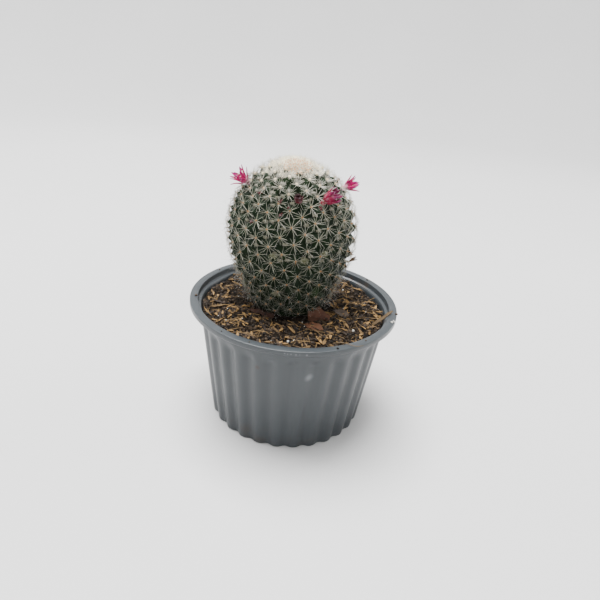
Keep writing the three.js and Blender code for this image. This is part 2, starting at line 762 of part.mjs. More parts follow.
// Root fibre: out of the soil, over the flange and a little way down.
const FIBRE_RADIUS = 0.35;
const FIBRE_ROUTE = [
  new THREE.Vector3(22, -42.5, SOIL_LEVEL + 2.3),
  new THREE.Vector3(25.5, -45.5, POT_HEIGHT - 1),
  new THREE.Vector3(28.4, -49.2, POT_HEIGHT + 0.9),
  new THREE.Vector3(32.5, -50.6, POT_HEIGHT + 0.75),
  new THREE.Vector3(36.8, -50.3, POT_HEIGHT + 1.3),
];

function fibreGeometry() {
  const curve = new THREE.CatmullRomCurve3(FIBRE_ROUTE);
  const steps = 10;
  const rings = Array.from({ length: steps + 1 }, (_, i) => (
    ringAcross(curve.getPoint(1 - i / steps), curve.getTangent(1 - i / steps), FIBRE_RADIUS, 5)));
  return skin(curve.getPoint(1), rings, curve.getPoint(0));
}

// The hole in the cactus that a bloom's tube stands in.
function bloomSocket(bloom) {
  const { root, axis } = bloom;
  const radius = tubeRadiusOf(bloom) + CLEARANCE;
  const length = 2 * (BLOOM_NECK + BLOOM_ROOT_DEPTH);
  const socket = new THREE.CylinderGeometry(radius, radius, length, 10);
  socket.rotateX(Math.PI / 2);
  socket.translate(0, 0, length / 2 - CLEARANCE);
  socket.applyQuaternion(frameAlong(axis));
  socket.translate(root.x, root.y, root.z);
  return socket;
}

// The whole plant leans a little to the left, on its place in the pot.
const plant = new THREE.Group();
plant.rotation.y = CACTUS_LEAN;
plant.position.set(CACTUS_PLACE[0], CACTUS_PLACE[1], SOIL_LEVEL);
plant.updateMatrix();

const blooms = seatedBlooms(cactusMesh([]).valleys);
let cactus = solid(cactusMesh(blooms).geometry);
for (const bloom of blooms) {
  cactus = cactus.subtract(solid(bloomSocket(bloom)));
}
plant.add(piece("cactus", surface(cactus), 0x55664f, 0.6));
for (const bloom of blooms) {
  plant.add(piece(bloom.name, bloomGeometry(bloom), bloom.color, 0.5));
}

const part = new THREE.Group();
part.add(plant);
part.add(piece("pot", potGeometry(), 0x7b8083, 0.4));
part.add(piece("soil", soilGeometry(plant.matrix), 0x4a3b2d, 0.95));
LEAF_SCRAPS.forEach((scrap) => part.add(leafScrap(scrap)));
part.add(piece("wood_sliver", sliverGeometry(), 0xa9865c, 0.8));
part.add(piece("root_fibre", fibreGeometry(), 0x8a745c, 0.8));

export default part;
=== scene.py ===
import math

import bmesh
import bpy
import numpy as np
from mathutils import Matrix, Vector, noise


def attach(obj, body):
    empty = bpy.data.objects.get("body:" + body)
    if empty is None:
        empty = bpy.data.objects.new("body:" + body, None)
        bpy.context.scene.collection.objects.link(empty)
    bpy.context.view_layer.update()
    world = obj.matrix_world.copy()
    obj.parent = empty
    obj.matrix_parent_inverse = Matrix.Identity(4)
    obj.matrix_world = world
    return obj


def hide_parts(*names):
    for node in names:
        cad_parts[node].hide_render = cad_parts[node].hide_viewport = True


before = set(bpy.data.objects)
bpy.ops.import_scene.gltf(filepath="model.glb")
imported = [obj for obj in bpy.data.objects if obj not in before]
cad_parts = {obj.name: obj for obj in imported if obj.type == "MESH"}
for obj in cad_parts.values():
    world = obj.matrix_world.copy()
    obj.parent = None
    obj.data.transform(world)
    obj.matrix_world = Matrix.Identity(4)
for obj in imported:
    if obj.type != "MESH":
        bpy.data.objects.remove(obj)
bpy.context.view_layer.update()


# Nursery pot. One thin moulding of grey polypropylene: the injection mould gives it soft flutes that
# end in arches under a plain collar, and a flat flange with a hanging lip stiffens its mouth.
# Lengths of shapes are in millimetres, and make_piece turns them into metres. Those in materials are
# in metres.
MM = 0.001
POT_HEIGHT = 73
FLANGE_RADIUS = 60
MOUTH_RADIUS = 55.5
WALL_TOP_RADIUS = 54.6
WALL_BASE_RADIUS = 46.2
WALL_THICKNESS = 1
FLOOR_THICKNESS = 1.4
LIP_DROP = 3
LEDGE_DROP = 3.5
FLUTES = 28
FLUTE_DEPTH = 1.5
FLUTE_PHASE = math.radians(8.75)
FLUTE_TOP = 65.5
FLUTE_FADE = 6.5
FLUTE_ARCH = 1.6
FLUTE_SHARPNESS = 1.3
STEPS_PER_FLUTE = 14
DRAIN_HOLES = 4
DRAIN_RADIUS = 3.5
DRAIN_CIRCLE = 30
LIP = POT_HEIGHT - LIP_DROP
LEDGE = POT_HEIGHT - LEDGE_DROP
# Heights of the rings on the wall, close together where the flutes end, and on the inside of the wall.
WALL_HEIGHTS = np.concatenate([np.arange(1, 56, 3), np.arange(56, 66.1, 0.6)])
INSIDE_HEIGHTS = (67, 64, 61, 58, 40, 20, FLOOR_THICKNESS + 1)
# Rings of the rounded base: height, and how far inside the face of the wall.
BASE_RINGS = ((0, 3), (0, 1), (0.1, 0.35), (0.4, 0.08))
# Plain rings from the collar to the ledge in the mouth: radius and height.
COLLAR_RINGS = ((54.3, 66.5), (54.6, 67), (54.9, 67.8), (55.4, 69.5), (55.9, 71))
UNDER_RINGS = ((56.6, 71.4), (58.6, 71.4), (58.95, 71.1), (59, 70.3), (59.2, LIP), (59.7, LIP))
LIP_RINGS = ((FLANGE_RADIUS, LIP + 0.4), (FLANGE_RADIUS, 72.65), (59.95, 72.86), (59.82, 72.97))
TOP_RINGS = ((59.65, POT_HEIGHT), (57.5, POT_HEIGHT), (55.9, POT_HEIGHT), (55.6, 72.9))
MOUTH_RINGS = (
    (MOUTH_RADIUS, 72.6), (MOUTH_RADIUS, LEDGE + 0.4), (55.3, LEDGE), (54, LEDGE), (53.7, LEDGE - 0.3))
# A painted highlight (a soft pale spot on the wall), a smear, two soil stains, dirt inside the mouth,
# and small scuffs on the lip: place, reach, share and colour.
POT_MARKS_AND_HIGHLIGHT = (
    # The first mark is a painted highlight: a pale spot that stands in for light on the wall.
    ((11.5, -50.9, 52.3), 3.4, 0.4, "#8d9396"), ((-15.6, -50.3, 56), 2, 0.8, "#2b1d16"),
    ((-21.2, -42, 6.9), 6, 0.35, "#332a20"), ((-13.3, -44.6, 2.7), 6, 0.35, "#332a20"),
    ((45.5, 31.8, 70.6), 4, 0.6, "#3a3026"), ((41.2, 35.2, 69.5), 3.5, 0.6, "#3a3026"),
    ((36.6, 41.7, 69.8), 3, 0.6, "#3a3026"),
    ((-2.2, -60, 71.7), 0.6, 0.3, "#9a9ea0"), ((-0.8, -60, 71.5), 0.5, 0.25, "#9a9ea0"),
    ((0.9, -60, 71.6), 0.5, 0.35, "#9a9ea0"), ((3.3, -59.9, 71.4), 0.7, 0.3, "#9a9ea0"),
    ((5.1, -59.8, 71.6), 0.4, 0.25, "#9a9ea0"), ((8.6, -59.4, 71.4), 0.8, 0.3, "#9a9ea0"))


def mix(a, b, share):
    """A value on the way from a to b."""
    return a + (b - a) * share


def ease(low, high, value):
    """A smooth step from 0 at low to 1 at high."""
    share = min(max((value - low) / (high - low), 0), 1)
    return share * share * (3 - 2 * share)


def polar(radius, angle, z):
    """A point from its radius, angle and height."""
    return (radius * math.cos(angle), radius * math.sin(angle), z)


def linear(code):
    """The linear colour of an sRGB hex code."""
    parts = [int(code[i:i + 2], 16) / 255 for i in (1, 3, 5)]
    return [p / 12.92 if p <= 0.04045 else ((p + 0.055) / 1.055) ** 2.4 for p in parts] + [1]


def new_material(name, roughness, ior, specular=0.5, sheen=0.0):
    """A new material, and its shader with constant values."""
    material = bpy.data.materials.new(name)
    material.use_nodes = True
    shader = material.node_tree.nodes["Principled BSDF"]
    shader.inputs["Roughness"].default_value = roughness
    shader.inputs["IOR"].default_value = ior
    shader.inputs["Specular IOR Level"].default_value = specular
    shader.inputs["Sheen Weight"].default_value = sheen
    return material, shader


def add_node(material, kind, settings, inputs):
    """Adds a node with its settings. An input is a value, or another node's output to link."""
    made = material.node_tree.nodes.new(kind)
    for name, value in settings.items():
        setattr(made, name, value)
    for name, value in inputs.items():
        if isinstance(value, bpy.types.NodeSocket):
            material.node_tree.links.new(value, made.inputs[name])
        else:
            made.inputs[name].default_value = value
    return made


def link(material, output, socket):
    """Links a node's output to an input."""
    material.node_tree.links.new(output, socket)


def blend_colours(material, share, first, second):
    """The output of a node that goes from the first colour to the second."""
    blend = add_node(material, "ShaderNodeMix", {"data_type": "RGBA"}, {0: share, 6: first, 7: second})
    return blend.outputs[2]


def object_place(material):
    """The output with the place on the piece, in metres."""
    return add_node(material, "ShaderNodeTexCoord", {}, {}).outputs["Object"]


def cloudy(material, place, size, detail, **more):
    """The output of an uneven tone, in patches of about the given size in metres."""
    inputs = {"Vector": place, "Scale": 1 / size, "Detail": detail, **more}
    return add_node(material, "ShaderNodeTexNoise", {}, inputs).outputs["Fac"]


def cells(material, place, size, feature="F1"):
    """The output of a tone in small cells, by the distance from their middles or from their edges."""
    inputs = {"Vector": place, "Scale": 1 / size}
    return add_node(material, "ShaderNodeTexVoronoi", {"feature": feature}, inputs).outputs["Distance"]


def ramp(material, value, start, end, low=0.0, high=1.0, course="LINEAR"):
    """The output that goes from low to high while a value goes from start to end."""
    inputs = {"Value": value, "From Min": start, "From Max": end, "To Min": low, "To Max": high}
    return add_node(material, "ShaderNodeMapRange", {"interpolation_type": course}, inputs).outputs["Result"]


def emboss(material, shader, strength, depth, height, invert=False):
    """Gives the shader a fine relief, with its depth in metres."""
    inputs = {"Strength": strength, "Distance": depth, "Height": height}
    bump = add_node(material, "ShaderNodeBump", {"invert": invert}, inputs)
    link(material, bump.outputs["Normal"], shader.inputs["Normal"])


def with_marks(material, place, colour, marks):
    """The output of a colour with soft round marks laid over it."""
    for spot, reach, share, code in marks:
        away = add_node(material, "ShaderNodeVectorMath", {"operation": "DISTANCE"}, {
            0: place, 1: [length * MM for length in spot]}).outputs["Value"]
        near = ramp(material, away, reach * MM, 0, 0, share, "SMOOTHSTEP")
        colour = blend_colours(material, near, colour, linear(code))
    return colour


def make_piece(name, points, faces, material, slot, stands_for=None, smooth=True):
    """An object on the body "root" from points in millimetres. It takes the place of a CAD node."""
    mesh = bpy.data.meshes.new(name)
    mesh.from_pydata((np.array(points, float) * MM).tolist(), [], faces)
    if smooth:
        mesh.shade_smooth()
    piece = bpy.data.objects.new(name, mesh)
    bpy.context.collection.objects.link(piece)
    mesh.materials.append(material)
    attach(piece, "root")
    if stands_for:
        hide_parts(stands_for)
    return piece


def skin(rings, closed_ends=True):
    """Points and faces over rings of equal count, with a middle point at either end."""
    count = len(rings[0])
    points = [p for ring in rings for p in ring]
    faces = []
    for r in range(len(rings) - 1):
        for i in range(count):
            j = (i + 1) % count
            low, high = r * count, (r + 1) * count
            faces.append((low + i, low + j, high + j, high + i))
    if closed_ends:
        for ring, first, turn in ((rings[0], 0, 1), (rings[-1], (len(rings) - 1) * count, 0)):
            middle = len(points)
            points.append(tuple(np.mean(np.array(ring, float), axis=0)))
            for i in range(count):
                edge = (first + i, first + (i + 1) % count)
                faces.append((middle, *(edge[::-1] if turn else edge)))
    return points, faces


def wall_radius(z, angle):
    """Outer radius of the wall. A flute is a rounded groove that ends in an arch below the collar."""
    wave = 0.5 * (1 - math.cos(FLUTES * (angle - FLUTE_PHASE)))
    top = FLUTE_TOP - FLUTE_ARCH * (1 - wave) ** 2
    cut = FLUTE_DEPTH * wave ** FLUTE_SHARPNESS * ease(0, FLUTE_FADE, top - z)
    return mix(WALL_BASE_RADIUS, WALL_TOP_RADIUS, z / LIP) - cut


def pot_rings():
    """Rings from under the floor up the wall, over the flange and down the inside to the floor."""
    count = FLUTES * STEPS_PER_FLUTE
    angles = [2 * math.pi * i / count for i in range(count)]

    def wall(z, inset=0.0):
        return [polar(wall_radius(z, a) - inset, a, z) for a in angles]

    def plain(radius, z):
        return [polar(radius, a, z) for a in angles]

    base = [wall(*ring) for ring in BASE_RINGS]
    outside = [wall(z) for z in WALL_HEIGHTS]
    rim = [plain(*ring) for ring in COLLAR_RINGS + UNDER_RINGS + LIP_RINGS + TOP_RINGS + MOUTH_RINGS]
    inside = [wall(z, WALL_THICKNESS) for z in INSIDE_HEIGHTS]
    floor = [wall(FLOOR_THICKNESS, WALL_THICKNESS + 0.8), plain(20, FLOOR_THICKNESS)]
    return base + outside + rim + inside + floor


def cut_drain_holes(pot):
    """Round holes through the floor of the pot."""
    drills = bmesh.new()
    for i in range(DRAIN_HOLES):
        place = polar(DRAIN_CIRCLE * MM, 2 * math.pi * i / DRAIN_HOLES, 0)
        bmesh.ops.create_cone(
            drills, cap_ends=True, segments=24, radius1=DRAIN_RADIUS * MM, radius2=DRAIN_RADIUS * MM,
            depth=6 * FLOOR_THICKNESS * MM, matrix=Matrix.Translation(place))
    mesh = bpy.data.meshes.new("drills")
    drills.to_mesh(mesh)
    drills.free()
    cutter = bpy.data.objects.new("drills", mesh)
    bpy.context.collection.objects.link(cutter)
    cut = pot.modifiers.new("drain holes", "BOOLEAN")
    cut.object = cutter
    cut.operation = "DIFFERENCE"
    bpy.context.view_layer.objects.active = pot
    bpy.ops.object.modifier_apply(modifier=cut.name)
    bpy.data.objects.remove(cutter)
    bpy.data.meshes.remove(mesh)


def moulded_polypropylene():
    """Moulded polypropylene: even cool grey, satin shine, soil stains low on the wall, dust, a painted
    highlight.
    """
    material, shader = new_material("moulded_polypropylene", 0.36, 1.49)
    place = object_place(material)
    tone = cloudy(material, place, 0.03, 3)
    grey = blend_colours(material, tone, linear("#272c2f"), linear("#2d3134"))

    height = add_node(material, "ShaderNodeSeparateXYZ", {}, {"Vector": place}).outputs["Z"]
    low = ramp(material, height, 0.016, 0.001)
    patchy = cloudy(material, place, 0.009, 4)
    patches = ramp(material, patchy, 0.5, 0.75, 0, 0.45)
    stain = add_node(material, "ShaderNodeMath", {"operation": "MULTIPLY"}, {0: low, 1: patches}).outputs[0]
    stained = blend_colours(material, stain, grey, linear("#3b322b"))

    # Specks of soil dust, a few tenths of a millimetre across.
    speck = ramp(material, cells(material, place, 0.012), 0.035, 0.02, 0, 0.6)
    specked = blend_colours(material, speck, stained, linear("#241f1c"))
    # The marks lay stains, dirt, scuffs and a painted highlight over the grey.
    link(material, with_marks(material, place, specked, POT_MARKS_AND_HIGHLIGHT), shader.inputs["Base Color"])
    link(material, ramp(material, patchy, 0.3, 0.7, 0.34, 0.4), shader.inputs["Roughness"])
    emboss(material, shader, 0.04, 0.0005, cloudy(material, place, 0.015, 0))
    return material


pot = make_piece("nursery_pot", *skin(pot_rings()), moulded_polypropylene(), "pot_plastic", "pot")
cut_drain_holes(pot)


# Potting mix: dark peat and bark compost that was poured in moist and has settled in lumps and crumbs,
# a little under the rim. It fills the pot down to the floor.
SOIL_LEVEL = 67
SOIL_LUMP = 0.9
SOIL_LUMP_SPACING = 15
SOIL_LUMP_WAYS = ((1, 0.4), (-0.5, 0.9))
CLOD_PLACE = (42, 2)
CLOD_HEIGHT = 3.2
CLOD_REACH = 8
CACTUS_PLACE = (-3.1, 7)
FOOT_RADIUS = 22.9
SCRAP_PLACES = ((-17.5, -13.5), (14.5, -12.6), (12, -24), (28, -5))
# Round the plant's foot and the leaf scraps the mix is level up to the first distance, and has its
# full lumps from the second.
LEVEL_ROUND_FOOT = (4, 9)
LEVEL_ROUND_SCRAPS = (8, 14)
SOIL_GAP = 0.1
SOIL_EDGE_GAP = 0.15
SOIL_SIDE_HEIGHTS = (FLOOR_THICKNESS + SOIL_GAP, 30, 50, 62)
SOIL_RINGS = 120
SOIL_STEPS = 360
# Crumbs of three sizes: width and height.
CRUMBS = ((3.4, 0.75), (1.5, 0.5), (0.7, 0.25))


def bare_soil_height(x, y):
    """The level of the settled mix without its crumbs."""
    turns = 2 * math.pi / SOIL_LUMP_SPACING
    lump = SOIL_LUMP * sum(math.sin(turns * (a * x + b * y)) for a, b in SOIL_LUMP_WAYS)
    clod = math.hypot(x - CLOD_PLACE[0], y - CLOD_PLACE[1]) / CLOD_REACH
    from_foot = math.hypot(x - CACTUS_PLACE[0], y - CACTUS_PLACE[1]) - FOOT_RADIUS
    from_scraps = min(math.hypot(x - scrap[0], y - scrap[1]) for scrap in SCRAP_PLACES)
    height = SOIL_LEVEL + lump * ease(*LEVEL_ROUND_FOOT, from_foot) * ease(*LEVEL_ROUND_SCRAPS, from_scraps)
    if clod < 1:
        height = mix(height, SOIL_LEVEL + CLOD_HEIGHT * (1 - clod ** 2), ease(1, 0.6, clod))
    return height


def soil_height(x, y):
    """The level of the mix with its crumbs."""
    height = bare_soil_height(x, y)
    for width, rise in CRUMBS:
        height += rise * noise.noise(Vector((x, y, 0)) / width)
    return height


def soil_rings():
    """Rings up the side of the mix, just inside the pot, and then over its top to the middle."""
    angles = [2 * math.pi * i / SOIL_STEPS for i in range(SOIL_STEPS)]
    rings = []
    for z in SOIL_SIDE_HEIGHTS:
        rings.append([polar(wall_radius(z, a) - WALL_THICKNESS - SOIL_GAP, a, z) for a in angles])
    edges = [wall_radius(SOIL_LEVEL - 2, a) - WALL_THICKNESS - SOIL_EDGE_GAP for a in angles]
    for r in range(SOIL_RINGS, 0, -1):
        ring = []
        for a, edge in zip(angles, edges):
            x, y, _ = polar(edge * r / SOIL_RINGS, a, 0)
            ring.append((x, y, soil_height(x, y)))
        rings.append(ring)
    return rings


def paint(material, shader, share, first, second):
    """Gives the shader a colour that goes from the first to the second."""
    link(material, blend_colours(material, share, first, second), shader.inputs["Base Color"])


def moist_compost():
    """Peat and bark compost: near black where it is moist, warm brown on its crumbs, quite matt."""
    material, shader = new_material("moist_compost", 0.95, 1.4, specular=0.15)
    place = object_place(material)
    fine = cloudy(material, place, 0.0016, 5, Roughness=0.7)
    dark = blend_colours(material, ramp(material, fine, 0.4, 0.65), linear("#050403"), linear("#28211a"))
    warm = ramp(material, cloudy(material, place, 0.005, 2), 0.5, 0.7, 0, 0.5)
    paint(material, shader, warm, dark, linear("#2e261c"))
    emboss(material, shader, 0.8, 0.0006, fine)
    return material


make_piece("potting_mix", *skin(soil_rings()), moist_compost(), "soil", "soil")


# Litter of the mix: rice husks, straw splinters, bark crumbs and grains of white perlite that were
# stirred into the compost and lie all over its top. Husks are dry boat-shaped scales of grass fibre.
HUSKS = 440
HUSK_LENGTH = (1.6, 8.4)
HUSK_WIDTH = (0.6, 1.9)
HUSK_THICKNESS = 0.22
HUSK_SLOPE = 0.22
HUSK_LIFT = (0.1, 1.1)
# The large husks: place, length and width.
BIG_HUSKS = ((20.5, -27.9, 7.5, 3.8), (49, -6, 9, 2.8), (42, -13, 8, 2.4), (-38, -20, 8, 2.6))
SPLINTERS = 330
SPLINTER_LENGTH = (3, 12)
SPLINTER_WIDTH = (0.3, 0.8)
SPLINTER_SLOPE = 0.15
SPLINTER_LIFT = 0.8
# Crumbs and grains: number, least and largest radius, and how far their middles lie over the mix.
BARK_CRUMBS = (1500, (0.35, 1.2), 0.2)
PALE_CRUMBS = (450, (0.2, 0.5), 0.6)
PERLITE_GRAINS = (40, (0.25, 0.55), 0.5)
LUMP_FLATNESS = 0.7
# The larger grains of perlite: place and radius.
PERLITE_PLACES = (
    (18.9, 25, 1), (30.8, 30.9, 0.9), (51, 6.6, 0.8), (-1.2, -40.2, 0.9), (1.9, -39.6, 0.8),
    (33.9, -23.3, 1), (43.3, 9.1, 0.9))
LITTER_REACH = 52.6
LITTER_SIDE = math.radians(-60)
LITTER_THINNEST = 0.6

dice = np.random.default_rng(11)


def litter_place():
    """A place on the mix, outside the plant. Litter gathered at the front and on the right."""
    while True:
        angle = dice.uniform(0, 2 * math.pi)
        gathered = 0.5 + 0.5 * math.cos(angle - LITTER_SIDE)
        x, y, _ = polar(LITTER_REACH * math.sqrt(dice.uniform(0.15, 1)), angle, 0)
        clear = math.hypot(x - CACTUS_PLACE[0], y - CACTUS_PLACE[1]) > FOOT_RADIUS + 1
        if clear and dice.uniform() < mix(LITTER_THINNEST, 1, gathered):
            return x, y


def lying(points, x, y, slope, lift):
    """Points of a small thing, laid on the mix with a random turn and slope."""
    spin, tip = dice.uniform(0, 2 * math.pi), dice.normal(0, slope)
    turn = Matrix.Rotation(spin, 3, "Z") @ Matrix.Rotation(tip, 3, "Y")
    return np.array(points, float) @ np.array(turn).T + np.array((x, y, soil_height(x, y) + lift))


def lay_litter(points, slope, lift, place=None):
    """Points of a small thing, laid where it is clear of the pot and of the plant."""
    while True:
        laid = lying(points, *(place or litter_place()), slope, lift)
        in_pot = np.hypot(laid[:, 0], laid[:, 1]).max() < LITTER_REACH
        off_plant = np.hypot(laid[:, 0] - CACTUS_PLACE[0], laid[:, 1] - CACTUS_PLACE[1]).min() > FOOT_RADIUS
        if in_pot and off_plant:
            return laid


def gather(shapes):
    """Points and faces of many shapes as one list."""
    points, faces, first = [], [], 0
    for shape_points, shape_faces in shapes:
        points.append(np.array(shape_points, float))
        faces += [[first + i for i in face] for face in shape_faces]
        first += len(shape_points)
    return np.concatenate(points), faces


def husk(length, width, hollow, bend):
    """A boat-shaped scale with a pointed foot and tip and a worn edge."""
    rings = []
    for t in np.linspace(-1, 1, 7):
        half = max(width / 2 * (1 - abs(t) ** 2.4) ** 0.8 * dice.uniform(0.75, 1.15), 0.06)
        bow = bend * length * (1 - t * t)
        aside = dice.normal(0, 0.06 * width)
        outer = [(t * length / 2, aside + half * u, bow - hollow * half * u * u) for u in (-1, 0, 1)]
        inner = [(a, b, c - HUSK_THICKNESS) for a, b, c in reversed(outer)]
        rings.append(outer + inner)
    return skin(rings)


def husks():
    """Many husks, the large ones at their places."""
    shapes = []
    for i in range(HUSKS):
        place = None
        length, width = mix(*HUSK_LENGTH, dice.uniform() ** 1.4), dice.uniform(*HUSK_WIDTH)
        if i < len(BIG_HUSKS):
            *place, length, width = BIG_HUSKS[i]
        points, faces = husk(length, width, dice.uniform(-1, 1), dice.uniform(-0.02, 0.05))
        shapes.append((lay_litter(points, HUSK_SLOPE, dice.uniform(*HUSK_LIFT), place), faces))
    return gather(shapes)


def tubes(lines, width, sides=3):
    """Closed tubes along many lines of equal count, each as wide as given at its foot and pointed."""
    lines = np.array(lines)
    count, steps = lines.shape[:2]
    along = lines[:, -1] - lines[:, 0]
    along /= np.linalg.norm(along, axis=1)[:, None]
    helper = np.where(np.abs(along[:, 2:]) < 0.9, [[0, 0, 1]], [[1, 0, 0]])
    across = np.cross(along, helper)
    across /= np.linalg.norm(across, axis=1)[:, None]
    over = np.cross(along, across)
    shares = np.linspace(0, 1, steps)[:-1]
    radii = np.broadcast_to(width, count)[:, None] / 2 * (1 - 0.7 * shares)
    turns = [2 * math.pi * i / sides for i in range(sides)]
    rings = [lines[:, :-1] + radii[..., None] * (across * math.cos(t) + over * math.sin(t))[:, None]
             for t in turns]
    points = np.stack(rings, axis=2).reshape(count, -1, 3)
    points = np.concatenate([points, lines[:, -1:]], axis=1)
    size = points.shape[1]
    faces = []
    for i in range(count):
        first = i * size
        faces.append([first + k for k in reversed(range(sides))])
        for ring in range(steps - 2):
            low = first + ring * sides
            for k in range(sides):
                j = (k + 1) % sides
                faces.append((low + k, low + j, low + sides + j, low + sides + k))
        low = first + (steps - 2) * sides
        for k in range(sides):
            faces.append((low + k, low + (k + 1) % sides, first + size - 1))
    marks = np.tile(np.append(np.repeat(shares, sides), 1), count)
    return points.reshape(-1, 3), faces, marks


def splinters():
    """Many thin slivers of straw, a little bent."""
    lines = []
    for _ in range(SPLINTERS):
        length = dice.uniform(*SPLINTER_LENGTH)
        start, wave = dice.uniform(0, 6), dice.uniform(0, 0.35)
        line = [(length * (t - 0.5), wave * math.sin(start + 4 * t), 0) for t in np.linspace(0, 1, 5)]
        lines.append(lay_litter(line, SPLINTER_SLOPE, SPLINTER_LIFT))
    return tubes(lines, dice.uniform(*SPLINTER_WIDTH, SPLINTERS), sides=4)[:2]


def taken_from(made):
    """Points and faces of a mesh that was built step by step. The mesh is freed."""
    made.verts.index_update()
    points = [tuple(vert.co) for vert in made.verts]
    faces = [[vert.index for vert in face.verts] for face in made.faces]
    made.free()
    return points, faces


def small_ball(rounds):
    """Points and faces of a round ball of radius 1."""
    made = bmesh.new()
    bmesh.ops.create_icosphere(made, subdivisions=rounds, radius=1)
    points, faces = taken_from(made)
    return np.array(points), faces


def level_across(normal):
    """A level direction at right angles to a normal."""
    level = Vector((-normal.y, normal.x, 0))
    return level.normalized() if level.length > 0.001 else Vector((1, 0, 0))


def pads(places, normals, radii, rises, rounds=2, rough=0.0, stretch=1.0):
    """Low pads that lie on the surface, round or stretched along the level."""
    ball, ball_faces = small_ball(rounds)
    points, faces = [], []
    for place, normal, radius, rise in zip(places, normals, radii, rises):
        normal = Vector(normal).normalized()
        level = level_across(normal)
        turn = np.array((level, normal.cross(level), normal))
        lump = ball * (1 + rough * dice.uniform(-1, 1, (len(ball), 1)))
        faces += [[i + len(points) * len(ball) for i in face] for face in ball_faces]
        points.append((lump * (radius * stretch, radius, rise)) @ turn + np.array(place))
    return np.concatenate(points), faces


def lumps(count, radii, lift, places=()):
    """Rough lumps scattered on the mix, the first of them at given places."""
    at, sizes = [], []
    for i in range(count):
        x, y = litter_place()
        size = dice.uniform(*radii)
        if i < len(places):
            x, y, size = places[i]
        at.append((x, y, soil_height(x, y) + lift))
        sizes.append(size)
    ways = dice.normal(0, 1, (count, 3))
    return pads(at, ways, sizes, np.array(sizes) * LUMP_FLATNESS, rounds=1, rough=0.25)


def chance_of_each(material):
    """The output with one random number for each loose thing in a piece."""
    return add_node(material, "ShaderNodeNewGeometry", {}, {}).outputs["Random Per Island"]


def dry_plant_fibre(name, codes, grain_width):
    """Dry grass or wood fibre: straw to brown, matt, with a fine grain that keeps some silky shine."""
    material, shader = new_material(name, 0.72, 1.53, specular=0.25)
    grain = cloudy(material, object_place(material), grain_width, 3)
    pale = blend_colours(material, grain, linear(codes[0]), linear(codes[1]))
    dark = blend_colours(material, grain, linear(codes[2]), linear(codes[3]))
    paint(material, shader, ramp(material, chance_of_each(material), 0.3, 0.75), pale, dark)
    emboss(material, shader, 0.5, 0.0003, grain)
    return material


def expanded_perlite():
    """Perlite: volcanic glass blown to a white froth, chalky and matt."""
    material, shader = new_material("expanded_perlite", 0.85, 1.5)
    froth = cells(material, object_place(material), 0.0005)
    paint(material, shader, froth, linear("#d8d6d0"), linear("#8f8b82"))
    emboss(material, shader, 0.6, 0.0002, froth)
    return material


husk_fibre = dry_plant_fibre("rice_husk", ("#957748", "#64492a", "#2f2318", "#120c08"), 0.0006)
straw_fibre = dry_plant_fibre("straw", ("#7c6541", "#513d25", "#2b2118", "#0e0a07"), 0.0005)
bark_fibre = dry_plant_fibre("bark_crumb", ("#4a3b2b", "#231a13", "#100c09", "#060504"), 0.0005)
make_piece("husks", *husks(), husk_fibre, "husk", smooth=False)
make_piece("splinters", *splinters(), straw_fibre, "husk", smooth=False)
make_piece("bark_crumbs", *lumps(*BARK_CRUMBS), bark_fibre, "soil")
make_piece("pale_crumbs", *lumps(*PALE_CRUMBS), straw_fibre, "husk")
make_piece("perlite", *lumps(*PERLITE_GRAINS, PERLITE_PLACES), expanded_perlite(), "grit")


# Leaf scraps: dry brown pieces of broad leaves that fell on the mix at the foot of the plant, thin and
# curled, with a faint midrib.
LEAF_THICKNESS = 0.4
LEAF_STANDS = 0.3
LEAF_RIPPLE = 0.4
LEAF_TEETH = 5
TOOTH_DEPTH = 0.9
# Turn and tilt are in degrees. The outline is given corner by corner.
LEAF_SCRAPS = {
    "leaf_scrap_left": {
        "place": SCRAP_PLACES[0], "turn": -28, "tilt": 0, "curl": 0.05, "fold": 0.2,
        "codes": ("#1f110a", "#43281a"),
        "outline": ((-8.5, -0.5), (-4, -2.6), (1, -1.4), (4.5, -2.4), (8.5, -0.5), (7, 2), (1.5, 1.2),
                    (-4, 2.2))},
    "leaf_scrap_right": {
        "place": SCRAP_PLACES[1], "turn": 12, "tilt": 8, "curl": 0.035, "fold": 0.75,
        "codes": ("#2b160b", "#593520"),
        "outline": ((-6.5, -3.2), (-2.4, -4.4), (1.6, -3), (6, -3.8), (7, 0.4), (3.4, 2.4), (0.8, 5),
                    (-2.2, 3), (-5.6, 3.2))},
    "leaf_scrap_front": {
        "place": SCRAP_PLACES[2], "turn": -35, "tilt": 0, "curl": 0.03, "fold": 0.25,
        "codes": ("#341b0c", "#653f24"),
        "outline": ((-5.5, -1), (-2, -3.4), (3, -3), (6.2, 0.5), (2.5, 3.2), (-3, 2.8))},
    "leaf_scrap_grey": {
        "place": SCRAP_PLACES[3], "turn": -50, "tilt": 0, "curl": 0.04, "fold": 0.35,
        "codes": ("#281f18", "#4a3d31"),
        "outline": ((-6, -1.5), (-1, -3), (4, -2.2), (6, 0.8), (1.5, 3), (-4, 2.2))},
}


def torn_edge(corners, steps):
    """A closed line through corners, with small teeth between them."""
    loop = []
    for a, b in zip(corners, corners[1:] + corners[:1]):
        for t in np.arange(steps) / steps:
            x, y = mix(a[0], b[0], t), mix(a[1], b[1], t)
            tooth = TOOTH_DEPTH * noise.noise(Vector((x, y, 3.7))) * math.sin(math.pi * t)
            loop.append((x + tooth, y - tooth))
    return loop


def in_fixed_order(points, faces):
    """The same points and faces, in an order that is the same in every run."""
    order = sorted(range(len(points)), key=points.__getitem__)
    index = {old: new for new, old in enumerate(order)}
    ordered = []
    for face in faces:
        face = [index[i] for i in face]
        if len(face) == 3:
            first = face.index(min(face))
            face = face[first:] + face[:first]
        ordered.append(face)
    return [points[i] for i in order], sorted(ordered)


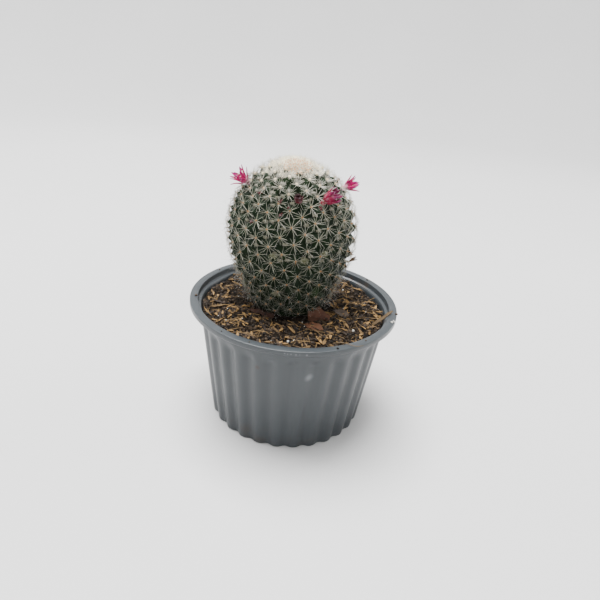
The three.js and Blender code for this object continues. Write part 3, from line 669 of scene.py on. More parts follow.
def leaf_scrap(name, place, turn, tilt, curl, fold, codes, outline):
    """A thin curled leaf with a torn outline, laid on the mix in place of its CAD node."""
    made = bmesh.new()
    loop = [made.verts.new((x, y, 0)) for x, y in torn_edge(outline, LEAF_TEETH)]
    made.faces.new(loop)
    bmesh.ops.triangulate(made, faces=made.faces)
    bmesh.ops.subdivide_edges(made, edges=made.edges, cuts=3, use_grid_fill=True)
    for vert in made.verts:
        x, y, _ = vert.co
        ripple = LEAF_RIPPLE * noise.noise(Vector((x * 0.45, y * 0.6, place[0])))
        vert.co.z = curl * y * y + 0.25 * curl * abs(x) + fold * max(y + 0.15 * x, 0) + ripple
    bmesh.ops.solidify(made, geom=made.faces, thickness=LEAF_THICKNESS)
    bmesh.ops.recalc_face_normals(made, faces=made.faces)
    laid = Matrix.Rotation(math.radians(turn), 3, "Z") @ Matrix.Rotation(math.radians(tilt), 3, "X")
    bmesh.ops.transform(made, matrix=laid.to_4x4(), verts=made.verts)
    lowest = min(vert.co.z for vert in made.verts)
    for vert in made.verts:
        vert.co += Vector((*place, SOIL_LEVEL + LEAF_STANDS - lowest))
    make_piece(name.replace("scrap", "piece"), *in_fixed_order(*taken_from(made)), dry_leaf(name, *codes),
               "dry_leaf", name, smooth=False)


def dry_leaf(name, dark_code, light_code):
    """A fallen leaf: tannin-brown, brittle and matt, darker in blotches, with a net of fine veins."""
    material, shader = new_material("dry_" + name, 0.75, 1.45)
    place = object_place(material)
    paint(material, shader, cloudy(material, place, 0.003, 4), linear(dark_code), linear(light_code))
    emboss(material, shader, 0.5, 0.0003, cells(material, place, 0.0016, "DISTANCE_TO_EDGE"), invert=True)
    return material


for scrap_name, scrap in LEAF_SCRAPS.items():
    leaf_scrap(scrap_name, **scrap)


# Wood sliver and root fibre: a split of pale wood with its foot on the mix and its other end over the
# rim, and a thin dry root that came out of the mix and lies over the flange.
SLIVER_PLACE = (45, -16)
SLIVER_CROSSING = math.radians(-12)
SLIVER_OVERHANG = 0.22
SLIVER_WIDTH = 2.8
SLIVER_THICKNESS = 0.8
SLIVER_CLEARANCE = 0.3
SLIVER_SWAY = 0.15
SLIVER_SIDES = 8
SLIVER_SPLIT = 0.22
# The sliver from its foot to its point: share of the length, and share of the full width there.
SLIVER_PROFILE = ((0, 0.5), (0.04, 0.95), (0.3, 1), (0.55, 0.92), (0.8, 0.85), (0.93, 0.65), (1, 0.3))
FIBRE_WIDTH = 0.7
FIBRE_ROUTE = (
    (22, -42.5, SOIL_LEVEL + 2.3), (25.5, -45.5, POT_HEIGHT - 1), (28.4, -49.2, POT_HEIGHT + 0.9),
    (32.5, -50.6, POT_HEIGHT + 0.75), (36.8, -50.3, POT_HEIGHT + 1.3))


def wood_sliver():
    """A flat sliver with split edges, from the mix over the rim."""
    lift = SLIVER_CLEARANCE + SLIVER_THICKNESS / 2
    foot = Vector((*SLIVER_PLACE, bare_soil_height(*SLIVER_PLACE) + lift + 0.5))
    edge = Vector(polar(MOUTH_RADIUS, SLIVER_CROSSING, POT_HEIGHT + lift + 0.1))
    along = (edge - foot) * (1 + SLIVER_OVERHANG)
    side = Vector((0, 0, 1)).cross(along).normalized()
    over = along.normalized().cross(side)
    rings = []
    for t, share in SLIVER_PROFILE:
        middle = foot + along * t + side * SLIVER_SWAY * math.sin(9 * t)
        ring = []
        for k in range(SLIVER_SIDES):
            angle = 2 * math.pi * k / SLIVER_SIDES
            split = 1 + SLIVER_SPLIT * math.sin(3 * k + 14 * t)
            ring.append(middle + side * (math.cos(angle) * share * split * SLIVER_WIDTH / 2)
                        + over * (math.sin(angle) * share * split * SLIVER_THICKNESS / 2))
        rings.append(ring)
    return skin(rings)


def smooth_route(route, steps):
    """Points of a smooth curve through a route, ends included."""
    ends = [np.array(p, float) for p in (route[0], *route, route[-1])]
    line = []
    for a, b, c, d in zip(ends, ends[1:], ends[2:], ends[3:]):
        for t in np.arange(steps) / steps:
            line.append(0.5 * (2 * b + (c - a) * t + (2 * a - 5 * b + 4 * c - d) * t * t
                               + (3 * b - a - 3 * c + d) * t ** 3))
    return line + [ends[-1]]


make_piece("split_wood", *wood_sliver(), dry_plant_fibre(
    "split_wood", ("#5e4a2c", "#2e2214", "#523f20", "#261b0f"), 0.0007), "husk", "wood_sliver")
root_shape = tubes([smooth_route(FIBRE_ROUTE, steps=6)], FIBRE_WIDTH, sides=6)[:2]
make_piece("dry_root", *root_shape, dry_plant_fibre(
    "dry_root", ("#63543f", "#4b3d2c", "#63543f", "#3d3022"), 0.0004), "husk", "root_fibre")


# Crumbs on the rim: a few grains of mix and of perlite that fell on the flange. Each is given by its
# place and its radius.
CRUMB_RISE = 0.35
RIM_CRUMBS = ((23.6, -53.3, 0.7), (-55.8, -9, 0.8), (58.8, -10.4, 0.8), (-49, 30, 0.5), (8, 57.5, 0.5),
              (46, 35, 0.6), (-20, -54.5, 0.4), (38.5, -43, 0.45), (-35, -46.5, 0.4))
RIM_PERLITE = ((54.8, -20.6, 0.7), (56.3, -20.1, 0.5), (56, -18.5, 0.4))


def crumbs_on_rim(crumbs):
    """Rough lumps that lie on the flange."""
    at = [(x, y, POT_HEIGHT + size * CRUMB_RISE) for x, y, size in crumbs]
    sizes = [size for _, _, size in crumbs]
    return pads(at, [(0, 0, 1)] * len(crumbs), sizes, np.array(sizes) * LUMP_FLATNESS, rounds=2, rough=0.2)


make_piece("rim_crumbs", *crumbs_on_rim(RIM_CRUMBS), bark_fibre, "soil")
make_piece("rim_perlite", *crumbs_on_rim(RIM_PERLITE), expanded_perlite(), "grit")


# Cactus lattice: areoles on a spiral, each turned by the same angle from the last one below it, on an
# outline that narrows at the foot and is a dome over its widest ring. Near the crown they crowd.
CACTUS_LEAN = math.radians(-2.3)
WIDEST_RADIUS = 36.1
WIDEST_HEIGHT = 46
CROWN_HEIGHT = 83.8
STEM_DEPTH = 12
STEM_RADIUS = 18
STEM_SINK = 2
OUTLINE_STEPS = 300
DOME_POWER_OUT = 1.04
DOME_POWER_UP = 1.05
# The four points that bend the lower half of the outline: radius and height.
LOWER_CURVE = ((FOOT_RADIUS, 0), (FOOT_RADIUS + 1.3, 12), (WIDEST_RADIUS, 24),
               (WIDEST_RADIUS, WIDEST_HEIGHT))
TURN = math.radians(137.58)
FIRST_ANGLE = math.radians(349.4)
FIRST_FILL = 0.9
CELL_AREA = 57.9
CELL_MIDDLE = 50
CELL_SLOPE = 0.295
CELL_FALL = 0.64
CELL_AREA_LEAST = 44
CROWN_START = 88
CROWN_END = 108
CROWN_CELL_AREA = 15
LOWEST_TIP = 2.6
TUBERCLE_SHARE = 0.43
FOOT_STEPS = 24
FOOT_BELOW = 0.14

plant_matrix = Matrix.Translation((*CACTUS_PLACE, SOIL_LEVEL)) @ Matrix.Rotation(CACTUS_LEAN, 4, "Y")


def on_plant(points):
    """Points of the upright plant, moved to where it stands and leans."""
    turn = np.array(plant_matrix.to_3x3())
    return np.array(points, float) @ turn.T + np.array(plant_matrix.translation)


def cell_area(s):
    """The area of skin for one areole, at a length along the outline."""
    u = (s - CELL_MIDDLE) / CELL_MIDDLE
    area = max(CELL_AREA * (1 - CELL_SLOPE * u - CELL_FALL * u * u), CELL_AREA_LEAST)
    return mix(area, CROWN_CELL_AREA, ease(CROWN_START, CROWN_END, s))


def cactus_outline():
    """Rows of radius, height, length along the outline, cells below, and height on a true-angle globe."""
    line = []
    for i in range(OUTLINE_STEPS + 1):
        t = i / OUTLINE_STEPS
        weights = ((1 - t) ** 3, 3 * t * (1 - t) ** 2, 3 * t * t * (1 - t), t ** 3)
        line.append([sum(w * c[k] for w, c in zip(weights, LOWER_CURVE)) for k in (0, 1)])
    for i in range(1, OUTLINE_STEPS):
        q = i / OUTLINE_STEPS * math.pi / 2
        rise = (CROWN_HEIGHT - WIDEST_HEIGHT) * math.sin(q) ** DOME_POWER_UP
        line.append([WIDEST_RADIUS * math.cos(q) ** DOME_POWER_OUT, WIDEST_HEIGHT + rise])
    rows = [(*line[0], 0.0, 0.0, 0.0)]
    for (r, z), (r_next, z_next) in zip(line, line[1:]):
        step = math.hypot(r_next - r, z_next - z)
        s = rows[-1][2] + step
        cells_below = rows[-1][3] + math.pi * (r + r_next) * step / cell_area(s)
        rows.append((r_next, z_next, s, cells_below, rows[-1][4] + 2 * step / (r + r_next)))
    return np.array(rows)


OUTLINE = cactus_outline()
RADIUS, HEIGHT, LENGTH, CELLS, GLOBE = range(5)


def outline_at(column, value):
    """The row of the outline where a column reaches a value, and the outward slope there."""
    i = int(min(max(np.searchsorted(OUTLINE[:, column], value, side="right"), 1), len(OUTLINE) - 1))
    a, b = OUTLINE[i - 1], OUTLINE[i]
    share = (value - a[column]) / (b[column] - a[column])
    slope = Vector((b[HEIGHT] - a[HEIGHT], a[RADIUS] - b[RADIUS])).normalized()
    return mix(a, b, share), slope


def globe_place(height, angle):
    """A place on the globe of radius 1, where neighbours on the plant are neighbours too."""
    latitude = 2 * math.atan(math.exp(height - OUTLINE[OUTLINE_STEPS, GLOBE])) - math.pi / 2
    return Vector(polar(math.cos(latitude), angle, math.sin(latitude)))


class Areole:
    """The tip of a tubercle: its place, the way it faces, and how far its neighbours are."""

    def __init__(self, tip, normal, spacing, on_globe, s, foot=False):
        self.tip = Vector(tip)
        self.normal = Vector(normal).normalized()
        self.spacing = spacing
        self.on_globe = on_globe
        self.s = s
        self.foot = foot


def areole_lattice():
    """All areoles, from the lowest one up the spiral."""
    areoles = []
    k = 0
    while k + FIRST_FILL < OUTLINE[-1, CELLS]:
        row, slope = outline_at(CELLS, k + FIRST_FILL)
        angle = FIRST_ANGLE + k * TURN
        k += 1
        if row[LENGTH] < LOWEST_TIP:
            continue
        spacing = math.sqrt(cell_area(row[LENGTH]) * 2 / math.sqrt(3))
        areoles.append(Areole(
            polar(row[RADIUS], angle, row[HEIGHT]), polar(slope[0], angle, slope[1]), spacing,
            globe_place(row[GLOBE], angle), row[LENGTH]))
    return areoles


def foot_ring():
    """A ring round the stem, just under the mix, where the lowest tubercles end."""
    ring = []
    for i in range(FOOT_STEPS):
        angle = 2 * math.pi * i / FOOT_STEPS
        tip = polar(STEM_RADIUS + 1, angle, -STEM_SINK)
        ring.append(Areole(tip, polar(1, angle, 0), 1, globe_place(-FOOT_BELOW, angle), 0, foot=True))
    return ring


def joined_in_threes(corners):
    """Neighbouring corners joined in threes, by the hull of their places on the globe."""
    hull = bmesh.new()
    made = [hull.verts.new(corner.on_globe) for corner in corners]
    pole = hull.verts.new((0, 0, -1))
    index = {vert: i for i, vert in enumerate(made)}
    bmesh.ops.convex_hull(hull, input=made + [pole])
    threes = []
    for face in hull.faces:
        if pole in face.verts:
            continue
        three = [index[vert] for vert in face.verts]
        if face.normal.dot(face.calc_center_median()) < 0:
            three.reverse()
        threes.append(three)
    hull.free()
    return threes


areoles = areole_lattice()
corners = areoles + foot_ring()
threes = joined_in_threes(corners)


# Cactus body: one swollen stem of firm green flesh under a waxy skin, grown as round-backed tubercles.
# It stands with its root in the soil.
BODY_STEPS = 10
TUBERCLE_ROUNDNESS = 1.35
WELD = 0.002
# Fresh green places of the skin: place, reach, share and colour.
SKIN_MARKS = (
    ((13.8, -16.8, 83.4), 8, 0.75, "#233613"), ((-8.1, -28.6, 106.1), 4, 0.7, "#2a4016"),
    ((-8, -11.5, 144.7), 4, 0.35, "#22331a"), ((2.8, -10.7, 144.3), 4, 0.35, "#22331a"))


def body_point(three, weights):
    """A point of the skin inside three neighbouring areoles: it falls away from the nearest one."""
    ends = [corners[i] for i in three]
    flat = sum((end.tip * w for end, w in zip(ends, weights)), Vector())
    outward = sum((end.normal * w for end, w in zip(ends, weights)), Vector()).normalized()
    deep = sum((0 if end.foot else end.spacing) * TUBERCLE_SHARE * w for end, w in zip(ends, weights))
    reach = min(((flat - end.tip).length / (end.spacing / math.sqrt(3)) for end in ends if not end.foot),
                default=1)
    return flat - outward * (deep * min(reach, 1) ** TUBERCLE_ROUNDNESS)


def cactus_body():
    """The skin between all areoles in threes, with a straight root to close it below."""
    made = bmesh.new()
    for three in threes:
        grid = {}
        for i in range(BODY_STEPS + 1):
            for j in range(BODY_STEPS + 1 - i):
                weights = (1 - (i + j) / BODY_STEPS, i / BODY_STEPS, j / BODY_STEPS)
                grid[i, j] = made.verts.new(body_point(three, weights))
        for i in range(BODY_STEPS):
            for j in range(BODY_STEPS - i):
                made.faces.new((grid[i, j], grid[i + 1, j], grid[i, j + 1]))
                if i + j < BODY_STEPS - 1:
                    made.faces.new((grid[i + 1, j], grid[i + 1, j + 1], grid[i, j + 1]))
    bmesh.ops.remove_doubles(made, verts=made.verts, dist=WELD)
    rim = [edge for edge in made.edges if edge.is_boundary]
    sunk = bmesh.ops.extrude_edge_only(made, edges=rim)
    root = [item for item in sunk["geom"] if isinstance(item, bmesh.types.BMVert)]
    for vert in root:
        level = Vector((vert.co.x, vert.co.y, 0)).normalized() * STEM_RADIUS
        vert.co = (level.x, level.y, -STEM_DEPTH)
    bmesh.ops.holes_fill(made, edges=[edge for edge in made.edges if edge.is_boundary], sides=0)
    bmesh.ops.recalc_face_normals(made, faces=made.faces)
    return in_fixed_order(*taken_from(made))


def waxy_skin():
    """Cactus skin: deep green under a thin waxy bloom, brighter where it is young, near the crown."""
    material, shader = new_material("waxy_skin", 0.6, 1.45, specular=0.12)
    place = object_place(material)
    green = blend_colours(material, cloudy(material, place, 0.006, 4), linear("#020703"), linear("#10200b"))
    height = add_node(material, "ShaderNodeSeparateXYZ", {}, {"Vector": place}).outputs["Z"]
    young = ramp(material, height, 0.132, 0.15, 0, 0.5)
    fresh = blend_colours(material, young, green, linear("#16250f"))
    link(material, with_marks(material, place, fresh, SKIN_MARKS), shader.inputs["Base Color"])
    emboss(material, shader, 0.3, 0.0002, cloudy(material, place, 0.0007, 2))
    return material


def set_marks(piece, name, values):
    """Keeps one number for each point of a piece, for its material to read."""
    marks = piece.data.attributes.new(name, "FLOAT", "POINT")
    marks.data.foreach_set("value", np.array(values, np.float32))


def grow_piece(name, shape, material, slot, stands_for=None, smooth=True):
    """A piece of the plant from its points and faces, and from the marks along it if there are any."""
    points, faces, *along = shape
    piece = make_piece(name, on_plant(points), faces, material, slot, stands_for, smooth)
    if along:
        set_marks(piece, "along", *along)
    return piece


grow_piece("cactus_body", cactus_body(), waxy_skin(), "cactus_skin", "cactus")


# Areoles: a small pad of short felt on each tubercle. The spines grow out of it. It is cream while
# it is young and turns orange-brown with age.
AREOLE_RADIUS = 0.52
YOUNG_AREOLE_RADIUS = 0.92
AREOLE_RISE = 0.4
# Areoles are young from the first length along the outline, and quite so from the second.
YOUNG_FROM = 67
YOUNG_ALL = 92


def mark_of(material, name):
    """The output that reads the numbers of a piece's points."""
    return add_node(material, "ShaderNodeAttribute", {"attribute_name": name}, {}).outputs["Fac"]


def felt():
    """Felt: very short dense hairs with no shine, cream when young and orange-brown when old."""
    material, shader = new_material("felt", 0.95, 1.5, sheen=0.3)
    fuzz = cloudy(material, object_place(material), 0.0004, 2)
    young = blend_colours(material, fuzz, linear("#cbbd98"), linear("#ede2c6"))
    old = blend_colours(material, fuzz, linear("#66441a"), linear("#8c6434"))
    paint(material, shader, mark_of(material, "age"), young, old)
    return material


tips = [areole.tip for areole in areoles]
normals = [areole.normal for areole in areoles]
youth = [ease(YOUNG_FROM, YOUNG_ALL, areole.s) for areole in areoles]
sizes = [mix(AREOLE_RADIUS, YOUNG_AREOLE_RADIUS, young) for young in youth]
felt_pads = pads(tips, normals, sizes, [AREOLE_RISE + size - AREOLE_RADIUS for size in sizes])
areole_felt = grow_piece("areole_felt", felt_pads, felt(), "wool")
set_marks(areole_felt, "age", np.repeat(1 - np.array(youth), len(felt_pads[0]) // len(areoles)))


# Spines: stiff needles of hard cellulose, white and thin, in a star round each areole, with two short
# brown ones in the middle. Round the crown they stand up and hide the skin.
RADIAL_SPINES = 12
RADIAL_LENGTH = 5.4
RADIAL_RISE = (math.radians(6), math.radians(26))
CROWN_RISE = (math.radians(22), math.radians(60))
RADIAL_WIDTH = 0.21
RADIAL_FOOT = 0.3
YOUNG_WIDTH_SHARE = 0.64
YOUNG_LENGTH_SHARE = 0.8
YOUNG_SPINES_MORE = 1.1
# Painted shade on the spines fades from the foot of the plant up to this length along the outline.
PAINTED_SHADE_UP_TO = 55
CENTRAL_SPINES = 2
CENTRAL_LENGTH = 1.8
CENTRAL_RISE = (math.radians(55), math.radians(80))
CENTRAL_WIDTH = 0.3
CENTRAL_FOOT = 0.1
NEEDLE_SHOULDER = 0.75
SPINE_ROOT = 0.1
STAR_JITTER = 0.45
REACH_SPREAD = (0.7, 1.15)
WIDTH_SPREAD = (0.8, 1.15)
# How much painted shade the spines get at the foot of the plant.
MOST_PAINTED_SHADE = 0.65
# Areoles this far apart or more have full spines and full tufts of wool.
FULL_SPACING = 7.6
# Spines of the lowest areoles are left out where they would run into the mix.
LOW_AREOLES = 9
CLEAR_OF_MIX = 1.2


def star_lines(areole, count, length, rises, foot, shares, sag=0.0):
    """Lines of spines in a loose star round an areole, with points at given shares of their length."""
    across = areole.normal.orthogonal().normalized()
    over = areole.normal.cross(across)
    start = dice.uniform(0, 2 * math.pi)
    lines = []
    for i in range(count):
        turn = start + 2 * math.pi * (i + dice.uniform(-STAR_JITTER, STAR_JITTER)) / count
        rise = dice.uniform(*rises)
        level = across * math.cos(turn) + over * math.sin(turn)
        way = level * math.cos(rise) + areole.normal * math.sin(rise)
        reach = length * dice.uniform(*REACH_SPREAD)
        root = areole.tip + level * foot - areole.normal * SPINE_ROOT
        down = areole.normal * (-sag * reach)
        lines.append([root + way * (reach * t) + down * t * t for t in shares])
    return lines


def horny_needle(name, foot_code, tip_code, young_code):
    """Cactus spine: hard horn-like cellulose with a small soft shine, palest when young, with painted shade
    low down.
    """
    material, shader = new_material(name, 0.5, 1.53, specular=0.3)
    colour = blend_colours(material, mark_of(material, "along"), linear(foot_code), linear(tip_code))
    dulled = ramp(material, chance_of_each(material), 0, 1, 0, 0.5)
    weathered = blend_colours(material, dulled, colour, linear("#4b4a42"))
    # The mark named dust is painted shade: it darkens the spines low on the plant, where less light falls.
    old = blend_colours(material, mark_of(material, "dust"), weathered, linear("#3c3a2e"))
    paint(material, shader, mark_of(material, "youth"), old, linear(young_code))
    return material


def spine_set(name, count, length, rises, crown_rises, width, foot, material):
    """One kind of spine on all areoles: finer, shorter and more of them where the areoles are young."""
    lines, youths, painted_shades = [], [], []
    for areole, young in zip(areoles, youth):
        low = mix(rises[0], crown_rises[0], young)
        high = mix(rises[1], crown_rises[1], young)
        size = mix(1, YOUNG_LENGTH_SHARE, young) * min(areole.spacing / FULL_SPACING, 1) ** 0.5
        spines = round(count * (1 + YOUNG_SPINES_MORE * young))
        star = star_lines(areole, spines, length * size, (low, high), foot, (0, NEEDLE_SHOULDER, 1))
        if areole.s < LOW_AREOLES:
            star = [line for line in star if line[-1].z > CLEAR_OF_MIX]
        lines += star
        youths += [young] * len(star)
        # Painted shade: spines darker towards the foot of the plant, where it faces down and gets less
        # light.
        painted_shades += [MOST_PAINTED_SHADE * ease(PAINTED_SHADE_UP_TO, 0, areole.s)] * len(star)
    shares = mix(1, YOUNG_WIDTH_SHARE, np.array(youths))
    needles = tubes(lines, width * shares * dice.uniform(*WIDTH_SPREAD, len(lines)))
    piece = grow_piece(name, needles, material, "spines", smooth=False)
    # The mark named dust holds the painted shade of each spine.
    for mark, values in (("youth", youths), ("dust", painted_shades)):
        set_marks(piece, mark, np.repeat(values, len(needles[0]) // len(lines)))


spine_set("radial_spines", RADIAL_SPINES, RADIAL_LENGTH, RADIAL_RISE, CROWN_RISE, RADIAL_WIDTH, RADIAL_FOOT,
          horny_needle("white_needle", "#8b8874", "#aeafa5", "#cac7ba"))
spine_set("central_spines", CENTRAL_SPINES, CENTRAL_LENGTH, CENTRAL_RISE, CENTRAL_RISE, CENTRAL_WIDTH,
          CENTRAL_FOOT, horny_needle("brown_needle", "#8a6034", "#6a4424", "#b98a60"))


# Bristles and wool: fine white hairs. Bristles stand out beyond the spines as a pale haze, wool lies
# in grey-white tufts in the axils between the tubercles and in a thick cream cap on the crown.
# Bristles to an areole on the sides, at the foot and on the crown, and the lengths along the outline
# between which their number changes.
BRISTLES = 3
FOOT_BRISTLES = 7
FOOT_BRISTLES_FADE = (26, 18)
CROWN_BRISTLES = 6
CROWN_BRISTLES_RISE = (70, 82)
BRISTLE_LENGTH = 8
BRISTLE_WIDTH = 0.055
BRISTLE_RISE = (math.radians(25), math.radians(75))
CROWN_BRISTLE_LENGTH = 5.6
BRISTLE_SHARES = (0, 0.35, 0.7, 1)
BRISTLE_SAG = 0.12
BRISTLES_CLEAR = 1.5
AXIL_TUFTS_FROM = 35
YOUNG_TUFTS_FROM = 72
YOUNG_TUFTS_TO = 98
AXIL_TUFT_SHARE = 0.7
TUFT_HAIRS = 30
TUFT_RADIUS = 0.85
TUFT_STRETCH = 1.9
TUFT_RISE = 0.6
TUFT_LIFT = 1.2
TUFTS_BELOW_SHARE = 0.3
GREEN_TUFT_STRETCH = 1.4
GREEN_TUFT_DEPTH = 0.9
GREEN_HAIR_LENGTH = 2.2
# Angle in degrees, height and radius.
GREEN_TUFTS = (
    (-76.5, 40.1, 1.45), (-102.5, 41.7, 1.1), (-59.5, 43, 1.1), (-102.5, 17.5, 1.3), (-160.5, 14.1, 1.2))
CAP_FROM = 96
CAP_FRINGE = 8
CAP_RINGS = 22
CAP_STEPS = 96
CAP_RAGGED = 4
CAP_EDGE_DEPTH = 2.6
CAP_LUMP = 0.8
CAP_LUMP_WIDTH = 2.4
FRINGE_DEPTH = 1.8
CAP_HAIRS = 6500
CAP_HAIR_LENGTH = 2.1
CAP_HAIR_WIDTH = 0.16
CAP_SPECKS = 120
SPECK_SPREAD = 0.68
SPECK_RADIUS = (0.25, 0.45)
SPECK_RISE = 0.4
GROWING_POINT = (2, -9.5)
HAIR_WIDTH = 0.1


def fine_hair(name, dark_code, light_code):
    """Plant hair: dead, dry, air-filled threads that scatter the light and look white."""
    material, shader = new_material(name, 0.8, 1.5, sheen=0.2)
    paint(material, shader, chance_of_each(material), linear(dark_code), linear(light_code))
    return material


def bristle_lines():
    """Long thin hairs round each areole, most of them at the foot and on the crown."""
    lines = []
    for areole in areoles:
        low = ease(*FOOT_BRISTLES_FADE, areole.s)
        high = ease(*CROWN_BRISTLES_RISE, areole.s)
        count = round(mix(mix(BRISTLES, FOOT_BRISTLES, low), CROWN_BRISTLES, high))
        length = mix(BRISTLE_LENGTH, CROWN_BRISTLE_LENGTH, high)
        star = star_lines(areole, count, length, BRISTLE_RISE, RADIAL_FOOT, BRISTLE_SHARES, BRISTLE_SAG)
        for line in star:
            wave = Vector(dice.normal(0, 0.35 + 0.5 * low, 3))
            line = [p + wave * math.sin(k * 1.6) for k, p in enumerate(line)]
            if line[-1].z > BRISTLES_CLEAR:
                lines.append(line)
    return lines


def tuft_lines(place, normal, radius, stretch, count, length):
    """Curly hairs out of a tuft that is stretched along the level."""
    lines = []
    level = level_across(normal)
    over = normal.cross(level)
    for _ in range(count):
        turn = dice.uniform(0, 2 * math.pi)
        out = math.sqrt(dice.uniform(0, 1)) * radius
        side = level * (math.cos(turn) * stretch) + over * math.sin(turn)
        way = (side * dice.uniform(0.3, 1.1) + normal * dice.uniform(0.3, 0.9)).normalized()
        curl = Vector(dice.normal(0, 0.2, 3))
        reach = length * dice.uniform(0.5, 1.2)
        lines.append([place + side * out * 0.7 + way * (reach * t) + curl * math.sin(3.5 * t)
                      for t in np.linspace(0, 1, 4)])
    return lines


def matted_wool(name, dark_code, light_code):
    """Matted plant wool: no shine at all, with fine strands that show as light and dark lines."""
    material, shader = new_material(name, 1, 1.5, specular=0.1)
    strands = cloudy(material, object_place(material), 0.0006, 4, Distortion=1.5)
    paint(material, shader, strands, linear(dark_code), linear(light_code))
    emboss(material, shader, 0.8, 0.0004, strands)
    return material


def valley_between(three):
    """The bottom of the valley between three tubercles, and the way out of it."""
    ends = [corners[i] for i in three]
    raised = [end.spacing for end in ends if not end.foot]
    middle = sum((end.tip for end in ends), Vector()) / 3
    outward = sum((end.normal for end in ends), Vector()).normalized()
    return middle - outward * (sum(raised) * TUBERCLE_SHARE / 3), outward


def axil_wool(name, low, high, share, matting, hair):
    """Lens-shaped tufts in a share of the axils of one zone, mostly in those above a tubercle."""
    lines, places, ways, radii = [], [], [], []
    for three, (place, outward) in zip(threes, valleys):
        heights = sorted(corners[i].s for i in three)
        above_one = heights[1] - heights[0] > heights[2] - heights[1]
        taken = dice.uniform() < share * (1 if above_one else TUFTS_BELOW_SHARE)
        if not low < heights[0] < high or not taken:
            continue
        radius = TUFT_RADIUS * min(corners[three[0]].spacing / FULL_SPACING, 1)
        raised = place + outward * TUFT_LIFT
        lines += tuft_lines(raised, outward, radius, TUFT_STRETCH, TUFT_HAIRS, 2 * radius)
        places.append(raised)
        ways.append(outward)
        radii.append(radius)
    tufts = pads(places, ways, radii, [TUFT_RISE] * len(radii), rough=0.1, stretch=TUFT_STRETCH)
    grow_piece(name + "_wool", tufts, matting, "wool")
    grow_piece(name + "_hair", tubes(lines, HAIR_WIDTH)[:2], hair, "wool", smooth=False)


def skin_place(angle, height):
    """A place over the valleys at an angle round the plant and a height on it, and the way out."""
    row, slope = outline_at(HEIGHT, height)
    return Vector(polar(row[RADIUS], angle, row[HEIGHT])), Vector(polar(slope[0], angle, slope[1]))


def green_tufts():
    """Fresh axil wool with a yellow-green tinge, on a few tubercles of the lower half."""
    lines, places, ways = [], [], []
    for angle, height, radius in GREEN_TUFTS:
        place, normal = skin_place(math.radians(angle), height)
        place -= normal * GREEN_TUFT_DEPTH
        places.append(place)
        ways.append(normal)
        lines += tuft_lines(place, normal, radius, GREEN_TUFT_STRETCH, 4 * TUFT_HAIRS, GREEN_HAIR_LENGTH)
    radii = [radius for _, _, radius in GREEN_TUFTS]
    tufts = pads(places, ways, radii, [1] * len(radii), rough=0.12, stretch=GREEN_TUFT_STRETCH)
    grow_piece("green_tufts", tufts, matted_wool("green_matting", "#37382a", "#5c5d47"), "wool")
    grow_piece("green_hair", tubes(lines, HAIR_WIDTH)[:2], fine_hair("green_hair", "#5a5b43", "#8d8d74"),
               "wool", smooth=False)


def cap_point(s, angle, lift):
    """A point over the crown, at a length along the outline and a lift above the tips."""
    row, slope = outline_at(LENGTH, s)
    normal = Vector(polar(slope[0], angle, slope[1]))
    return Vector(polar(row[RADIUS], angle, row[HEIGHT])) + normal * lift, normal


def crown_cap():
    """The mat of wool that closes over the crown, with a ragged edge between the last spines."""
    rings = []
    end = OUTLINE[-1, LENGTH]
    for t in np.linspace(0, 0.985, CAP_RINGS):
        ring = []
        for angle in np.linspace(0, 2 * math.pi, CAP_STEPS, endpoint=False):
            ragged = CAP_RAGGED * (1 - t) * noise.noise(Vector(polar(3, angle, 0)))
            s = mix(CAP_FROM + ragged, end, t)
            lump = CAP_LUMP * noise.noise(cap_point(s, angle, 0)[0] / CAP_LUMP_WIDTH)
            ring.append(cap_point(s, angle, mix(-CAP_EDGE_DEPTH, 0, ease(0, 0.3, t)) + lump)[0])
        rings.append(ring)
    return skin(rings)


def cap_hair_lines():
    """Short hairs all over the cap and, thinner, between the areoles round it."""
    lines = []
    end = OUTLINE[-1, LENGTH]
    for _ in range(CAP_HAIRS):
        share = dice.uniform(0, 1) ** 0.62
        s = end - (end - CAP_FROM + CAP_FRINGE) * share
        fringe = ease(CAP_FROM + CAP_RAGGED, CAP_FROM - CAP_FRINGE, s)
        place, normal = cap_point(s, dice.uniform(0, 2 * math.pi), -FRINGE_DEPTH * fringe)
        way = (normal + Vector(dice.normal(0, 0.5, 3))).normalized()
        reach = CAP_HAIR_LENGTH * dice.uniform(0.4, 1.1)
        curl = Vector(dice.normal(0, 0.25, 3))
        lines.append([place + way * (reach * t) + curl * math.sin(3 * t) for t in np.linspace(0, 1, 3)])
    return lines


def cap_specks():
    """The youngest areoles round the growing point: peach dots in a close spiral."""
    places, ways = [], []
    dome = OUTLINE[:OUTLINE_STEPS:-1]
    for k in range(CAP_SPECKS):
        x, y, _ = polar(SPECK_SPREAD * math.sqrt(k + 0.5), k * TURN, 0)
        x += GROWING_POINT[0]
        y += GROWING_POINT[1]
        s = float(np.interp(math.hypot(x, y), dome[:, RADIUS], dome[:, LENGTH]))
        place, normal = cap_point(s, math.atan2(y, x), 1.2 + dice.uniform(-0.3, 0.5))
        places.append(place + Vector(dice.normal(0, 0.25, 3)))
        ways.append(normal)
    radii = dice.uniform(*SPECK_RADIUS, CAP_SPECKS)
    return pads(places, ways, radii, [SPECK_RISE] * CAP_SPECKS, rounds=1, rough=0.2)


